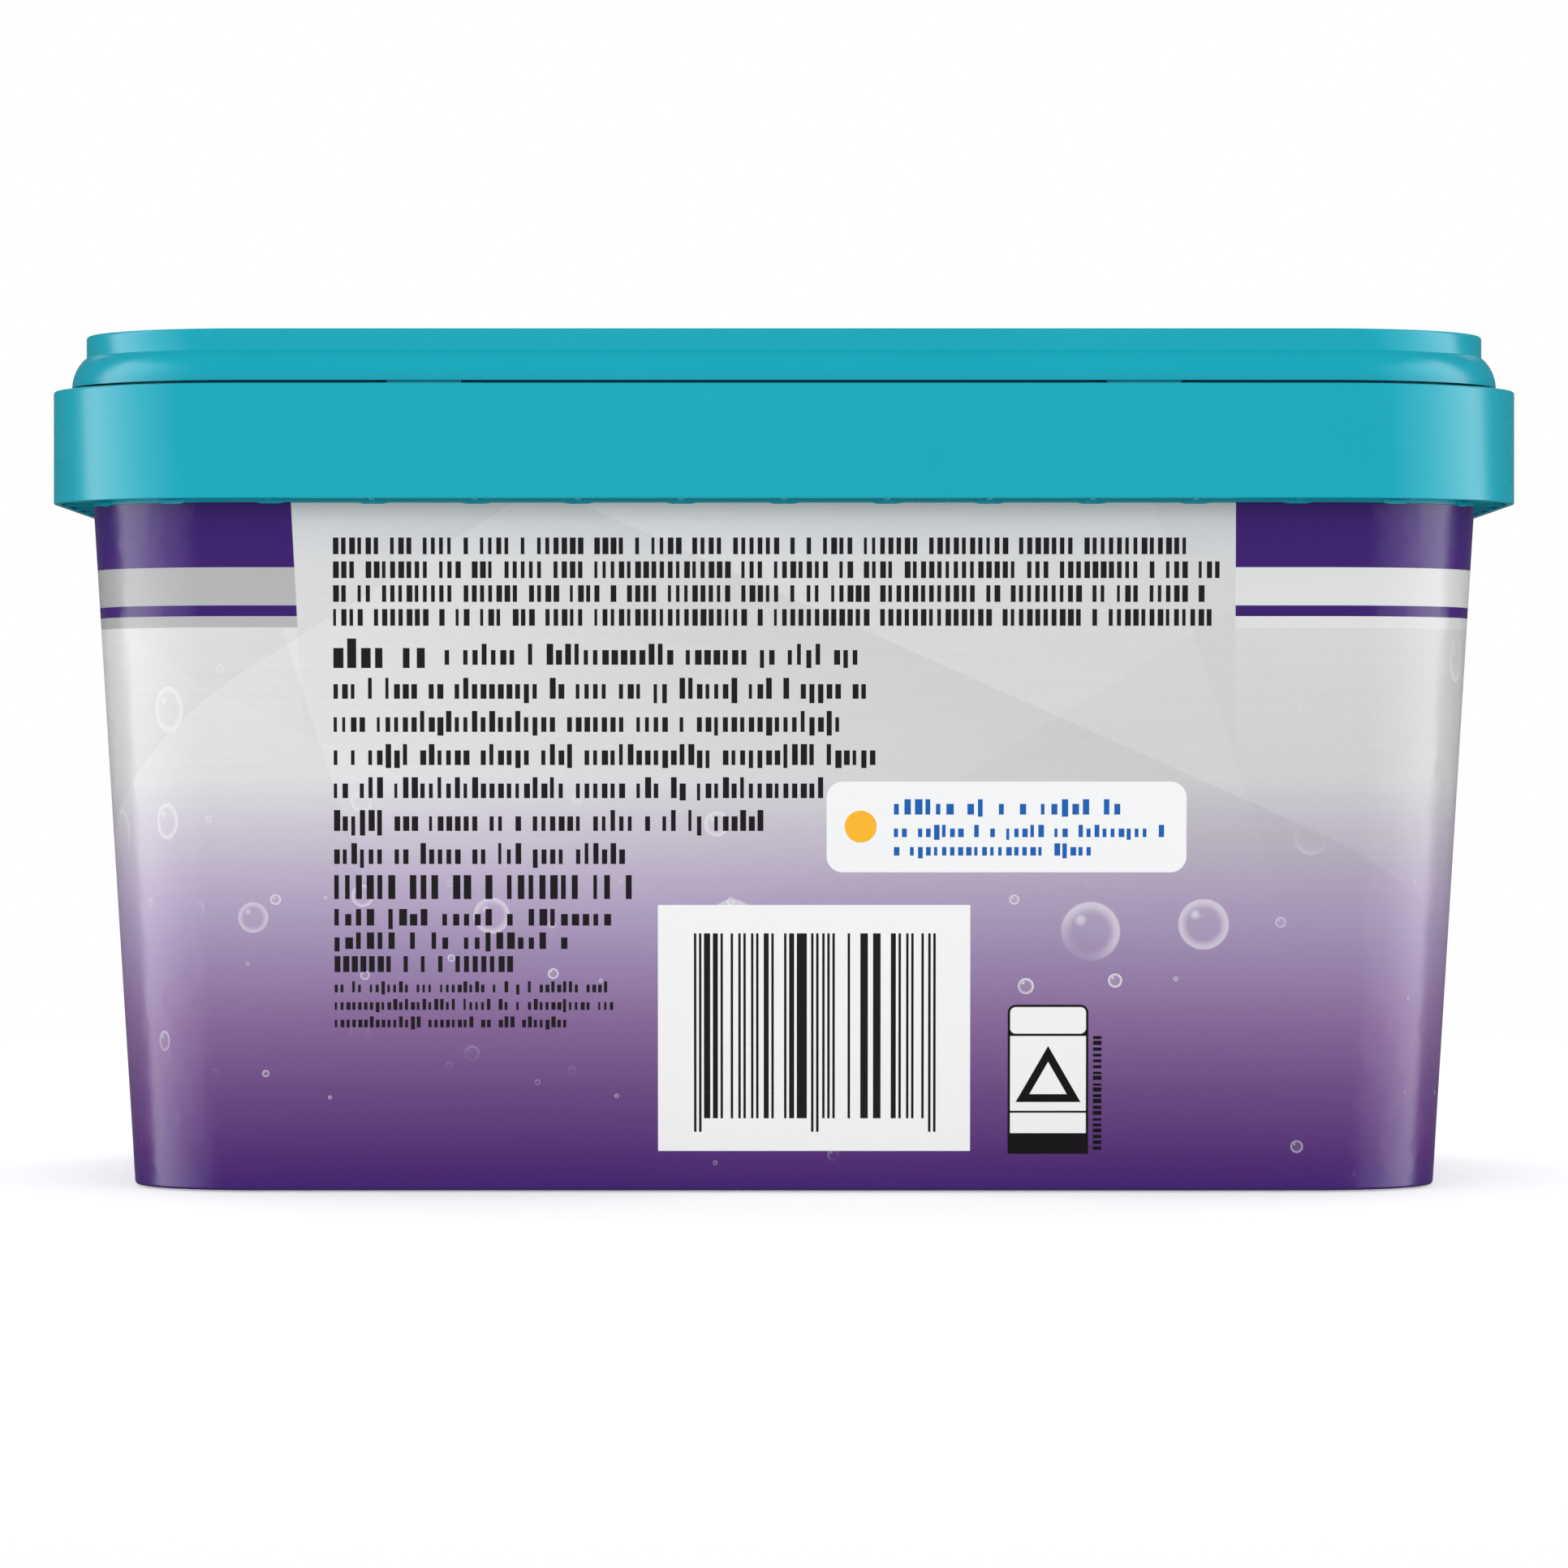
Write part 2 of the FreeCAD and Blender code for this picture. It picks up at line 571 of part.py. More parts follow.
def tablet_placements():
    """Full layers in columns and rows, each tablet a little turned and shifted, and a loose top layer."""
    layer_pitch = TABLET_HEIGHT + LAYER_GAP
    cells = []
    for row in range(TABLET_ROW_COUNT):
        for column in range(TABLET_COLUMN_COUNT):
            x = (column - (TABLET_COLUMN_COUNT - 1) / 2) * COLUMN_PITCH
            y = (row - (TABLET_ROW_COUNT - 1) / 2) * ROW_PITCH
            cells.append((x, y))
    placements = []
    for layer in range(FULL_LAYER_COUNT + 1):
        z = FLOOR_TOP + LAYER_GAP + layer * layer_pitch
        for number, (x, y) in enumerate(cells):
            if layer == FULL_LAYER_COUNT and (number * 7) % len(cells) >= TOP_LAYER_COUNT:
                continue
            wave = 1.7 * number + 2.9 * layer
            turn = TABLET_TURN_DEG * math.sin(wave)
            dx = TABLET_SHIFT * math.sin(2.3 * wave)
            dy = TABLET_SHIFT * math.cos(1.9 * wave)
            placements.append(Placement(Vector(x + dx, y + dy, z), Rotation(UP, turn)))
    return placements


def check_and_export(name, shape):
    if not shape.isValid() or len(shape.Solids) != 1:
        print("CHECK", name, "valid", shape.isValid(), "solids", len(shape.Solids))
    print(name, round(shape.Volume / 1000, 2), "cm3", len(shape.Faces), "faces")
    shape.exportStep("parts/" + name + ".step")


os.makedirs("parts", exist_ok=True)
check_and_export("tub_body", make_tub_body())
check_and_export("collar", make_collar())
check_and_export("lid", make_lid())
tablet = make_tablet()
for number, placement in enumerate(tablet_placements(), start=1):
    copy = tablet.copy()
    copy.Placement = placement
    check_and_export("tablet_%02d" % number, copy)
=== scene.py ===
import json
import math

import bpy
from mathutils import Matrix, Vector

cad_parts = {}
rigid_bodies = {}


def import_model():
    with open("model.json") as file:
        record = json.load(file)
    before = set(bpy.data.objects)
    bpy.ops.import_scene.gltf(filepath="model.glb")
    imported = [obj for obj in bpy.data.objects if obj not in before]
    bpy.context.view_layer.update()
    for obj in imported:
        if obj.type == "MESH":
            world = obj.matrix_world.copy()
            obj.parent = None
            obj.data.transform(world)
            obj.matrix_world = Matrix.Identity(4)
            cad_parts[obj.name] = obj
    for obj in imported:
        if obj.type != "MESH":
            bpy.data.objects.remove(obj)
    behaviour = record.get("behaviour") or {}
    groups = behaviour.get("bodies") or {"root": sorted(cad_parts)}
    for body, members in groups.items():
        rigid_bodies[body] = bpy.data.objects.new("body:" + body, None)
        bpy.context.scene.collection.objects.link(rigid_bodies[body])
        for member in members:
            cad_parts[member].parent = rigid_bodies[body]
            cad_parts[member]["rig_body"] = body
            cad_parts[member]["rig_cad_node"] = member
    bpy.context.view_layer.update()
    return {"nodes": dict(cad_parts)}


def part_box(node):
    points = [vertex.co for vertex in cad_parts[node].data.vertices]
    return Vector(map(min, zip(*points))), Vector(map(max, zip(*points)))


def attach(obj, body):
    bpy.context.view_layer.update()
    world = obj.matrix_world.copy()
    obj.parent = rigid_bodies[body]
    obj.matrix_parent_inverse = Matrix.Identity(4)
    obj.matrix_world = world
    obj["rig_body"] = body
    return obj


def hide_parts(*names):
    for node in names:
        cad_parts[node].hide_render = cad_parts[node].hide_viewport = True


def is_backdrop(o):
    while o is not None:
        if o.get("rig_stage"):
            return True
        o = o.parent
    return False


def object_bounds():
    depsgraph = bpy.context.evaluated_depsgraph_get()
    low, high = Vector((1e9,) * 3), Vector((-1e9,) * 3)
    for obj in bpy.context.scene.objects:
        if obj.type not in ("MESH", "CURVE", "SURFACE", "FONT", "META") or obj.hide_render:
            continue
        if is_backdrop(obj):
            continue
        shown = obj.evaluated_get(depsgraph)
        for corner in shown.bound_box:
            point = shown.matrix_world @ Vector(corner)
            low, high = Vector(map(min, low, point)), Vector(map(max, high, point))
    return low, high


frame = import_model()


# The tub body is one injection-moulded polypropylene piece, 1.2 mm thick, drafted 3.4 degrees so
# that it leaves its mould. A printed film is laid in the mould and fuses to the outside, so the
# print has no edge or step. The inside and the neck are the bare white plastic.

MM = 0.001
TUB_OUTSIDE_TOP = 111.55 * MM
TUB_BACK_TOP_Y = 71.45 * MM
TUB_SIDE_TOP_X = 113.95 * MM
TUB_CORNER = 26.1 * MM
TUB_SLOPE = 0.0594


def linear(code):
    """A colour written as sRGB hex, as the linear values that a shader takes."""
    values = [int(code[i:i + 2], 16) / 255 for i in (1, 3, 5)]
    return [v / 12.92 if v <= 0.04045 else ((v + 0.055) / 1.055) ** 2.4 for v in values] + [1.0]


def add(tree, kind, settings=None, links=None):
    """Adds one node, sets its properties, and fills its inputs with values or other nodes' sockets."""
    made = tree.nodes.new("ShaderNode" + kind)
    for name, value in (settings or {}).items():
        setattr(made, name, value)
    for name, value in (links or {}).items():
        if isinstance(value, bpy.types.NodeSocket):
            tree.links.new(value, made.inputs[name])
        else:
            made.inputs[name].default_value = value
    return made


def new_material(name):
    material = bpy.data.materials.new(name)
    material.use_nodes = True
    material.node_tree.nodes.clear()
    return material, material.node_tree


def smooth_copy(node, name):
    """The moulded solid's own surface as one welded skin, shaded smooth round its curves."""
    bpy.ops.object.select_all(action="DESELECT")
    source = frame["nodes"][node]
    piece = source.copy()
    piece.data = source.data.copy()
    piece.name = name
    piece.parent = None
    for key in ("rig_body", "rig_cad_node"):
        if key in piece:
            del piece[key]
    bpy.context.scene.collection.objects.link(piece)
    piece.data.materials.clear()
    bpy.context.view_layer.objects.active = piece
    piece.select_set(True)
    bpy.ops.object.mode_set(mode="EDIT")
    bpy.ops.mesh.select_all(action="SELECT")
    bpy.ops.mesh.remove_doubles(threshold=0.002 * MM)
    bpy.ops.mesh.customdata_custom_splitnormals_clear()
    bpy.ops.mesh.dissolve_limited(angle_limit=math.radians(0.3), delimit={"NORMAL"})
    bpy.ops.mesh.quads_convert_to_tris()
    bpy.ops.object.mode_set(mode="OBJECT")
    bpy.ops.object.shade_smooth_by_angle(angle=math.radians(28), keep_sharp_edges=False)
    weighted = piece.modifiers.new("even shading", "WEIGHTED_NORMAL")
    weighted.keep_sharp = True
    weighted.weight = 100
    bpy.ops.object.modifier_apply(modifier=weighted.name)
    return piece


def all_of(tree, *masks):
    """1 where every mask is 1."""
    total = masks[0]
    for mask in masks[1:]:
        total = add(tree, "Math", {"operation": "MULTIPLY"}, {0: total, 1: mask}).outputs[0]
    return total


def between(tree, value, low, high, soft):
    """1 where value lies from low to high, easing to 0 over a soft edge on both sides."""
    rise = add(tree, "MapRange", {"interpolation_type": "SMOOTHSTEP"},
               {0: value, 1: low - soft, 2: low + soft})
    fall = add(tree, "MapRange", {"interpolation_type": "SMOOTHSTEP"},
               {0: value, 1: high - soft, 2: high + soft, 3: 1.0, 4: 0.0})
    return all_of(tree, rise.outputs[0], fall.outputs[0])


def overprint(tree, under, colour, *masks):
    """Lays one colour over what is printed so far, where every mask is 1."""
    layer = add(tree, "Mix", {"data_type": "RGBA"}, {0: all_of(tree, *masks), 6: under, 7: colour})
    return layer.outputs[2]


# The film's top edge, in mm above the shelf: heights are given as shares of it on a colour ramp
FILM_TOP = 112.0


def by_height(tree, height, stops):
    """A colour that runs through stops of (millimetres above the shelf, hex)."""
    scaled = add(tree, "Math", {"operation": "DIVIDE"}, {0: height, 1: FILM_TOP})
    ramp = add(tree, "ValToRGB", None, {0: scaled.outputs[0]})
    elements = ramp.color_ramp.elements
    for place, code in stops[1:-1]:
        elements.new(place / FILM_TOP).color = linear(code)
    for element, (place, code) in ((elements[0], stops[0]), (elements[-1], stops[-1])):
        element.position, element.color = place / FILM_TOP, linear(code)
    return ramp.outputs[0]


def bubbles(tree, point, spacing, smallest, largest):
    """Scattered soft rings of many sizes, mostly small, each with a faint fill and a bright spot."""
    cells = add(tree, "TexVoronoi", {"voronoi_dimensions": "2D"},
                {"Vector": point, "Scale": 1.0 / spacing, "Randomness": 0.62})
    offset = add(tree, "VectorMath", {"operation": "SUBTRACT"}, {0: point, 1: cells.outputs["Position"]})
    away = add(tree, "VectorMath", {"operation": "LENGTH"}, {0: offset.outputs[0]})
    chance = add(tree, "SeparateXYZ", None, {0: cells.outputs["Color"]})
    mostly_small = add(tree, "Math", {"operation": "POWER"}, {0: chance.outputs[0], 1: 3.0})
    radius = add(tree, "MapRange", None, {0: mostly_small.outputs[0], 3: smallest, 4: largest})
    share = add(tree, "Math", {"operation": "DIVIDE"}, {0: away.outputs[1], 1: radius.outputs[0]})
    inside = add(tree, "MapRange", {"interpolation_type": "SMOOTHSTEP"},
                 {0: share.outputs[0], 1: 1.06, 2: 0.98})
    to_rim = add(tree, "MapRange", {"interpolation_type": "SMOOTHERSTEP"},
                 {0: share.outputs[0], 1: 0.55, 2: 1.0, 3: 0.12, 4: 1.0})
    from_spot = add(tree, "VectorMath", {"operation": "MULTIPLY_ADD"},
                    {0: radius.outputs[0], 1: (0.35, -0.4, 0.0), 2: offset.outputs[0]})
    spot_away = add(tree, "VectorMath", {"operation": "LENGTH"}, {0: from_spot.outputs[0]})
    spot_share = add(tree, "Math", {"operation": "DIVIDE"}, {0: spot_away.outputs[1], 1: radius.outputs[0]})
    spot = add(tree, "MapRange", {"interpolation_type": "SMOOTHSTEP"},
               {0: spot_share.outputs[0], 1: 0.3, 2: 0.05})
    lit = add(tree, "Math", {"operation": "MAXIMUM"}, {0: to_rim.outputs[0], 1: spot.outputs[0]})
    return all_of(tree, lit.outputs[0], inside.outputs[0])


def rounded_panel(tree, x, z, left, right, low, high, radius):
    """1 inside a printed rectangle with rounded corners."""
    beyond = []
    for value, a, b in ((x, left, right), (z, low, high)):
        moved = add(tree, "Math", {"operation": "SUBTRACT"}, {0: value, 1: (a + b) / 2})
        size = add(tree, "Math", {"operation": "ABSOLUTE"}, {0: moved.outputs[0]})
        over = add(tree, "Math", {"operation": "SUBTRACT"}, {0: size.outputs[0], 1: (b - a) / 2 - radius})
        beyond.append(add(tree, "Math", {"operation": "MAXIMUM"}, {0: over.outputs[0], 1: 0.0}).outputs[0])
    corner = add(tree, "CombineXYZ", None, {0: beyond[0], 1: beyond[1]})
    length = add(tree, "VectorMath", {"operation": "LENGTH"}, {0: corner.outputs[0]})
    inside = add(tree, "MapRange", None, {0: length.outputs[1], 1: radius + 0.06, 2: radius - 0.06})
    return inside.outputs[0]


def blank_lines(tree, x, z, left, rows):
    """Rows of small plain blocks in uneven groups. From the bottom up, each row gives its middle,
    length, block height and block pitch in mm, then the share of low blocks and the length of a
    larger first group."""
    gap_share, larger_by, above_row = 0.19, 0.5, 0.75
    scaled = add(tree, "Math", {"operation": "DIVIDE"}, {0: z, 1: FILM_TOP})
    sizes = add(tree, "ValToRGB", None, {0: scaled.outputs[0]})
    habits = add(tree, "ValToRGB", None, {0: scaled.outputs[0]})
    for table in (sizes.color_ramp, habits.color_ramp):
        table.interpolation = "CONSTANT"
        table.elements.remove(table.elements[1])
        table.elements[0].color = (0.0, 0.0, 1.0, 0.0)
    for middle, length, tall, pitch, low_share, lead in rows:
        from_here = (middle - tall / 2 - above_row) / FILM_TOP
        sizes.color_ramp.elements.new(from_here).color = (middle, tall, pitch, length)
        habits.color_ramp.elements.new(from_here).color = (low_share, lead, 1.0, 1.0)
    size = add(tree, "SeparateColor", None, {0: sizes.outputs[0]})
    habit = add(tree, "SeparateColor", None, {0: habits.outputs[0]})

    # Which block this is, and how far along it
    from_left = add(tree, "Math", {"operation": "SUBTRACT"}, {0: x, 1: left})
    in_lead = add(tree, "Math", {"operation": "LESS_THAN"}, {0: from_left.outputs[0], 1: habit.outputs[1]})
    bigger = add(tree, "Math", {"operation": "MULTIPLY_ADD"}, {0: in_lead.outputs[0], 1: larger_by, 2: 1.0})
    tall = add(tree, "Math", {"operation": "MULTIPLY"}, {0: size.outputs[1], 1: bigger.outputs[0]})
    pitch = add(tree, "Math", {"operation": "MULTIPLY"}, {0: size.outputs[2], 1: bigger.outputs[0]})
    along = add(tree, "Math", {"operation": "DIVIDE"}, {0: from_left.outputs[0], 1: pitch.outputs[0]})
    place = add(tree, "Math", {"operation": "FLOOR"}, {0: along.outputs[0]})
    part = add(tree, "Math", {"operation": "FRACT"}, {0: along.outputs[0]})
    cell = add(tree, "CombineXYZ", None, {0: place.outputs[0], 1: size.outputs[0]})
    cell_before = add(tree, "VectorMath", {"operation": "SUBTRACT"}, {0: cell.outputs[0], 1: (1.0, 0.0, 0.0)})
    chance, chance_before = (
        add(tree, "TexWhiteNoise", {"noise_dimensions": "2D"}, {"Vector": which.outputs[0]}).outputs[0]
        for which in (cell, cell_before))

    # A space takes one block's place, never the first and never beside another space
    gap = add(tree, "Math", {"operation": "LESS_THAN"}, {0: chance, 1: gap_share})
    block_before = add(tree, "Math", {"operation": "GREATER_THAN"}, {0: chance_before, 1: gap_share})
    past_first = add(tree, "Math", {"operation": "GREATER_THAN"}, {0: place.outputs[0], 1: 0.5})
    space = all_of(tree, gap.outputs[0], block_before.outputs[0], past_first.outputs[0])
    block = add(tree, "Math", {"operation": "SUBTRACT"}, {0: 1.0, 1: space})

    # Each block's width, top and foot: some are low, and a few hang below the row
    wide = add(tree, "Math", {"operation": "MULTIPLY_ADD"}, {0: chance, 1: 0.4, 2: 0.34})
    before_end = add(tree, "Math", {"operation": "LESS_THAN"}, {0: part.outputs[0], 1: wide.outputs[0]})
    chances = []
    for spread in (37.0, 91.0):
        stretched = add(tree, "Math", {"operation": "MULTIPLY"}, {0: chance, 1: spread})
        chances.append(add(tree, "Math", {"operation": "FRACT"}, {0: stretched.outputs[0]}).outputs[0])
    low = add(tree, "Math", {"operation": "LESS_THAN"}, {0: chances[0], 1: habit.outputs[0]})
    tail_share = add(tree, "Math", {"operation": "MULTIPLY"}, {0: habit.outputs[0], 1: 0.16})
    tailed = add(tree, "Math", {"operation": "LESS_THAN"}, {0: chances[1], 1: tail_share.outputs[0]})
    head_share = add(tree, "Math", {"operation": "MULTIPLY_ADD"}, {0: low.outputs[0], 1: -0.3, 2: 0.5})
    foot_share = add(tree, "Math", {"operation": "MULTIPLY_ADD"}, {0: tailed.outputs[0], 1: -0.22, 2: -0.5})
    head = add(tree, "Math", {"operation": "MULTIPLY"}, {0: head_share.outputs[0], 1: tall.outputs[0]})
    foot = add(tree, "Math", {"operation": "MULTIPLY"}, {0: foot_share.outputs[0], 1: tall.outputs[0]})
    rise = add(tree, "Math", {"operation": "SUBTRACT"}, {0: z, 1: size.outputs[0]})
    below_head = add(tree, "Math", {"operation": "LESS_THAN"}, {0: rise.outputs[0], 1: head.outputs[0]})
    above_foot = add(tree, "Math", {"operation": "GREATER_THAN"}, {0: rise.outputs[0], 1: foot.outputs[0]})
    before_right = add(tree, "Math", {"operation": "LESS_THAN"},
                       {0: from_left.outputs[0], 1: sizes.outputs[1]})
    after_left = add(tree, "Math", {"operation": "GREATER_THAN"}, {0: from_left.outputs[0], 1: 0.0})
    return all_of(tree, *(mask.outputs[0] for mask in
                          (block, before_end, below_head, above_foot, before_right, after_left)))


# In-mould label: gravure-printed polypropylene film under the tub's gloss. A semi-gloss skin with a
# faint orange peel, dot grain of about 0.6 mm, and broad pale facets fading to deep purple.
label, ink = new_material("printed in-mould film")
place = add(ink, "TexCoord")
in_mm = add(ink, "VectorMath", {"operation": "SCALE"}, {0: place.outputs["Object"], 3: 1000.0})
axes = add(ink, "SeparateXYZ", None, {0: in_mm.outputs[0]})
across, depth, height = axes.outputs[0], axes.outputs[1], axes.outputs[2]

# Round the tub, in mm from the middle of its back, so that the print turns the corners unstretched:
# over the front half the distance to the side edge is counted twice, which unrolls the front too
FOOT_HALF_DEPTH = 64.8
FOOT_HALF_WIDTH = 107.32
half_depth = add(ink, "Math", {"operation": "MULTIPLY_ADD"}, {0: height, 1: TUB_SLOPE, 2: FOOT_HALF_DEPTH})
half_width = add(ink, "Math", {"operation": "MULTIPLY_ADD"}, {0: height, 1: TUB_SLOPE, 2: FOOT_HALF_WIDTH})
from_middle = add(ink, "Math", {"operation": "ABSOLUTE"}, {0: across})
past_back = add(ink, "Math", {"operation": "ADD"}, {0: depth, 1: half_depth.outputs[0]})
run = add(ink, "Math", {"operation": "ADD"}, {0: from_middle.outputs[0], 1: past_back.outputs[0]})
on_front = add(ink, "Math", {"operation": "GREATER_THAN"}, {0: depth, 1: 0.0})
to_edge = add(ink, "Math", {"operation": "SUBTRACT"}, {0: half_width.outputs[0], 1: from_middle.outputs[0]})
twice = add(ink, "Math", {"operation": "MULTIPLY"}, {0: on_front.outputs[0], 1: 2.0})
unrolled = add(ink, "Math", {"operation": "MULTIPLY_ADD"},
               {0: twice.outputs[0], 1: to_edge.outputs[0], 2: run.outputs[0]})
side_sign = add(ink, "Math", {"operation": "SIGN"}, {0: across})
around = add(ink, "Math", {"operation": "MULTIPLY"}, {0: side_sign.outputs[0], 1: unrolled.outputs[0]})
flat = add(ink, "CombineXYZ", None, {0: around.outputs[0], 1: height}).outputs[0]

FIELD = [
    (0.0, "#432673"), (5.5, "#553077"), (16.8, "#6E4E88"), (27.4, "#87699A"), (37.9, "#9D88B0"),
    (48.5, "#B4A6C2"), (59.0, "#C9C3CF"), (67.0, "#DADADC"),
]
PURPLE = linear("#3D1E6F")
LEFT_GREY = linear("#B5B6B7")
RIGHT_GREY = linear("#DDDFDE")
BAND_FOOT = 91.45

# The two purple bands and the grey between them are cut sharp, each laid over what is below it
print_so_far = by_height(ink, height, FIELD + [(90.0, "#E0E0E0"), (FILM_TOP, "#E0E0E0")])
rightwards = add(ink, "MapRange", {"interpolation_type": "SMOOTHSTEP"}, {0: across, 1: -60.0, 2: 60.0})
grey = overprint(ink, LEFT_GREY, RIGHT_GREY, rightwards.outputs[0])
for lower_edge, band_colour in ((BAND_FOOT, grey), (93.25, PURPLE), (95.0, grey), (101.15, PURPLE)):
    above = add(ink, "MapRange", None, {0: height, 1: lower_edge - 0.05, 2: lower_edge + 0.05})
    print_so_far = overprint(ink, print_so_far, band_colour, above.outputs[0])

# The back panel covers the bands from its slanting left side to its upright right side
PANEL_LEAN = 0.049
panel_colour = by_height(ink, height, FIELD + [(90.0, "#DBDBDB"), (103.0, "#DCDDDE"), (FILM_TOP, "#D6DADD")])
leaning = add(ink, "Math", {"operation": "MULTIPLY_ADD"}, {0: height, 1: PANEL_LEAN, 2: across})
panel_side = add(ink, "MapRange", None, {0: leaning.outputs[0], 1: -74.25, 2: -74.1})
panel_end = add(ink, "MapRange", None, {0: across, 1: 73.05, 2: 72.95})
on_back = add(ink, "Math", {"operation": "LESS_THAN"}, {0: depth, 1: 0.0}).outputs[0]
panel = all_of(ink, panel_side.outputs[0], panel_end.outputs[0], on_back)
print_so_far = overprint(ink, print_so_far, panel_colour, panel)

# Broad translucent facets: strips cross at three slants, each a few percent paler or darker than
# the next and fading towards one edge. Slant in degrees, strip width in mm, strength and shift
FACETS = ((66.0, 52.0, 0.13, 3.3), (-58.0, 38.0, 0.10, 8.1), (18.0, 70.0, 0.09, 5.7))
facets = []
for slant, band, strength, shift in FACETS:
    way = (math.cos(math.radians(slant)) / band, math.sin(math.radians(slant)) / band, 0.0)
    run = add(ink, "VectorMath", {"operation": "DOT_PRODUCT"}, {0: flat, 1: way})
    moved = add(ink, "Math", {"operation": "ADD"}, {0: run.outputs[1], 1: shift})
    strip = add(ink, "Math", {"operation": "FLOOR"}, {0: moved.outputs[0]})
    part = add(ink, "Math", {"operation": "FRACT"}, {0: moved.outputs[0]})
    chance = add(ink, "TexWhiteNoise", {"noise_dimensions": "1D"}, {"W": strip.outputs[0]})
    signed = add(ink, "Math", {"operation": "SUBTRACT"}, {0: chance.outputs[0], 1: 0.62})
    faded = add(ink, "Math", {"operation": "MULTIPLY"}, {0: signed.outputs[0], 1: part.outputs[0]})
    facets.append(add(ink, "Math", {"operation": "MULTIPLY_ADD"}, {0: faded.outputs[0], 1: strength, 2: 1.0}))
grain = add(ink, "TexNoise", None, {"Vector": in_mm.outputs[0], "Scale": 1.6, "Detail": 3.0})
grain_shade = add(ink, "MapRange", None, {0: grain.outputs[0], 1: 0.3, 2: 0.7, 3: 0.985, 4: 1.015})
stretched = add(ink, "VectorMath", {"operation": "MULTIPLY"}, {0: in_mm.outputs[0], 1: (0.03, 0.03, 1.1)})
streaks = add(ink, "TexNoise", None, {"Vector": stretched.outputs[0], "Scale": 1.0, "Detail": 2.0})
streak_shade = add(ink, "MapRange", None, {0: streaks.outputs[0], 1: 0.3, 2: 0.7, 3: 0.988, 4: 1.012})

# The facets fade out low down, and down the middle of the front, where the film's ends meet. The
# field is also a little darker on the right
high_up = add(ink, "MapRange", {"interpolation_type": "SMOOTHSTEP"}, {0: height, 1: 25.0, 2: 65.0})
past_join = add(ink, "MapRange", {"interpolation_type": "SMOOTHSTEP"},
                {0: from_middle.outputs[0], 1: 6.0, 2: 24.0})
patterned = add(ink, "Math", {"operation": "MAXIMUM"}, {0: past_join.outputs[0], 1: on_back}).outputs[0]
facets_here = add(ink, "Mix", {"data_type": "FLOAT"}, {
    0: all_of(ink, high_up.outputs[0], patterned), 2: 1.0,
    3: all_of(ink, *(facet.outputs[0] for facet in facets)),
})
darker_right = add(ink, "MapRange", {"interpolation_type": "SMOOTHSTEP"},
                   {0: across, 1: -80.0, 2: 80.0, 3: 1.08, 4: 0.9})
right_fade = add(ink, "Mix", {"data_type": "FLOAT"},
                 {0: high_up.outputs[0], 2: 1.0, 3: darker_right.outputs[0]})
shade = all_of(ink, *(node.outputs[0] for node in (facets_here, grain_shade, streak_shade, right_fade)))
shaded = add(ink, "VectorMath", {"operation": "SCALE"}, {0: print_so_far, 3: shade})
below_bands = add(ink, "MapRange", None, {0: height, 1: BAND_FOOT - 0.05, 2: BAND_FOOT - 0.15})
on_field = add(ink, "Math", {"operation": "MAXIMUM"}, {0: below_bands.outputs[0], 1: panel})
print_so_far = overprint(ink, print_so_far, shaded.outputs[0], on_field.outputs[0])

# Two scatters of pale bubbles: wide ones in patches over the field, small ones down in the purple.
# Spacing, smallest and largest radius, lowest and highest place in mm, and strength
SCATTERS = ((19.0, 0.6, 4.8, 22.0, 88.0, 0.42), (15.0, 0.3, 1.3, 4.0, 50.0, 0.7))
for spacing, smallest, largest, low, high, strength in SCATTERS:
    patches = add(ink, "TexNoise", {"noise_dimensions": "2D"},
                  {"Vector": flat, "Scale": 0.3 / spacing, "Detail": 1.0})
    patch = add(ink, "MapRange", {"interpolation_type": "SMOOTHSTEP"},
                {0: patches.outputs[0], 1: 0.47, 2: 0.6, 4: strength})
    print_so_far = overprint(
        ink, print_so_far, linear("#FAFAFC"), bubbles(ink, flat, spacing, smallest, largest),
        patch.outputs[0], patterned, between(ink, height, low, high, 5.0))

# Back panel: rows of plain blocks from its left edge
INK_BLACK = linear("#211E22")
ROWS_LEFT = -72.9
BLOCK_ROWS = [
    (27.5, 38.0, 1.8, 0.95, 0.7, 0.0), (30.35, 45.6, 1.8, 0.95, 0.7, 0.0), (33.2, 44.65, 1.8, 0.95, 0.7, 0.0),
    (36.9, 29.4, 2.6, 1.4, 0.0, 0.0), (40.7, 38.5, 2.7, 1.75, 0.6, 0.0), (44.5, 45.5, 2.7, 1.75, 0.6, 0.0),
    (49.4, 49.0, 3.9, 1.75, 0.0, 0.0), (54.84, 47.6, 3.4, 1.4, 0.75, 0.0), (60.2, 70.0, 3.4, 1.4, 0.75, 0.0),
    (65.52, 79.8, 3.4, 1.4, 0.75, 0.0), (70.88, 88.2, 3.4, 1.4, 0.75, 0.0), (76.24, 84.0, 3.4, 1.4, 0.75, 0.0),
    (81.6, 86.8, 3.4, 1.4, 0.75, 0.0), (87.1, 85.5, 3.4, 1.5, 0.75, 18.0), (93.05, 142.56, 2.7, 1.32, 0.0, 0.0),
    (96.9, 141.24, 2.7, 1.32, 0.0, 0.0), (100.75, 143.88, 2.7, 1.32, 0.0, 0.0),
    (104.6, 138.6, 2.7, 1.32, 0.0, 0.0),
]
rows = blank_lines(ink, across, height, ROWS_LEFT, BLOCK_ROWS)
print_so_far = overprint(ink, print_so_far, INK_BLACK, rows, on_back)

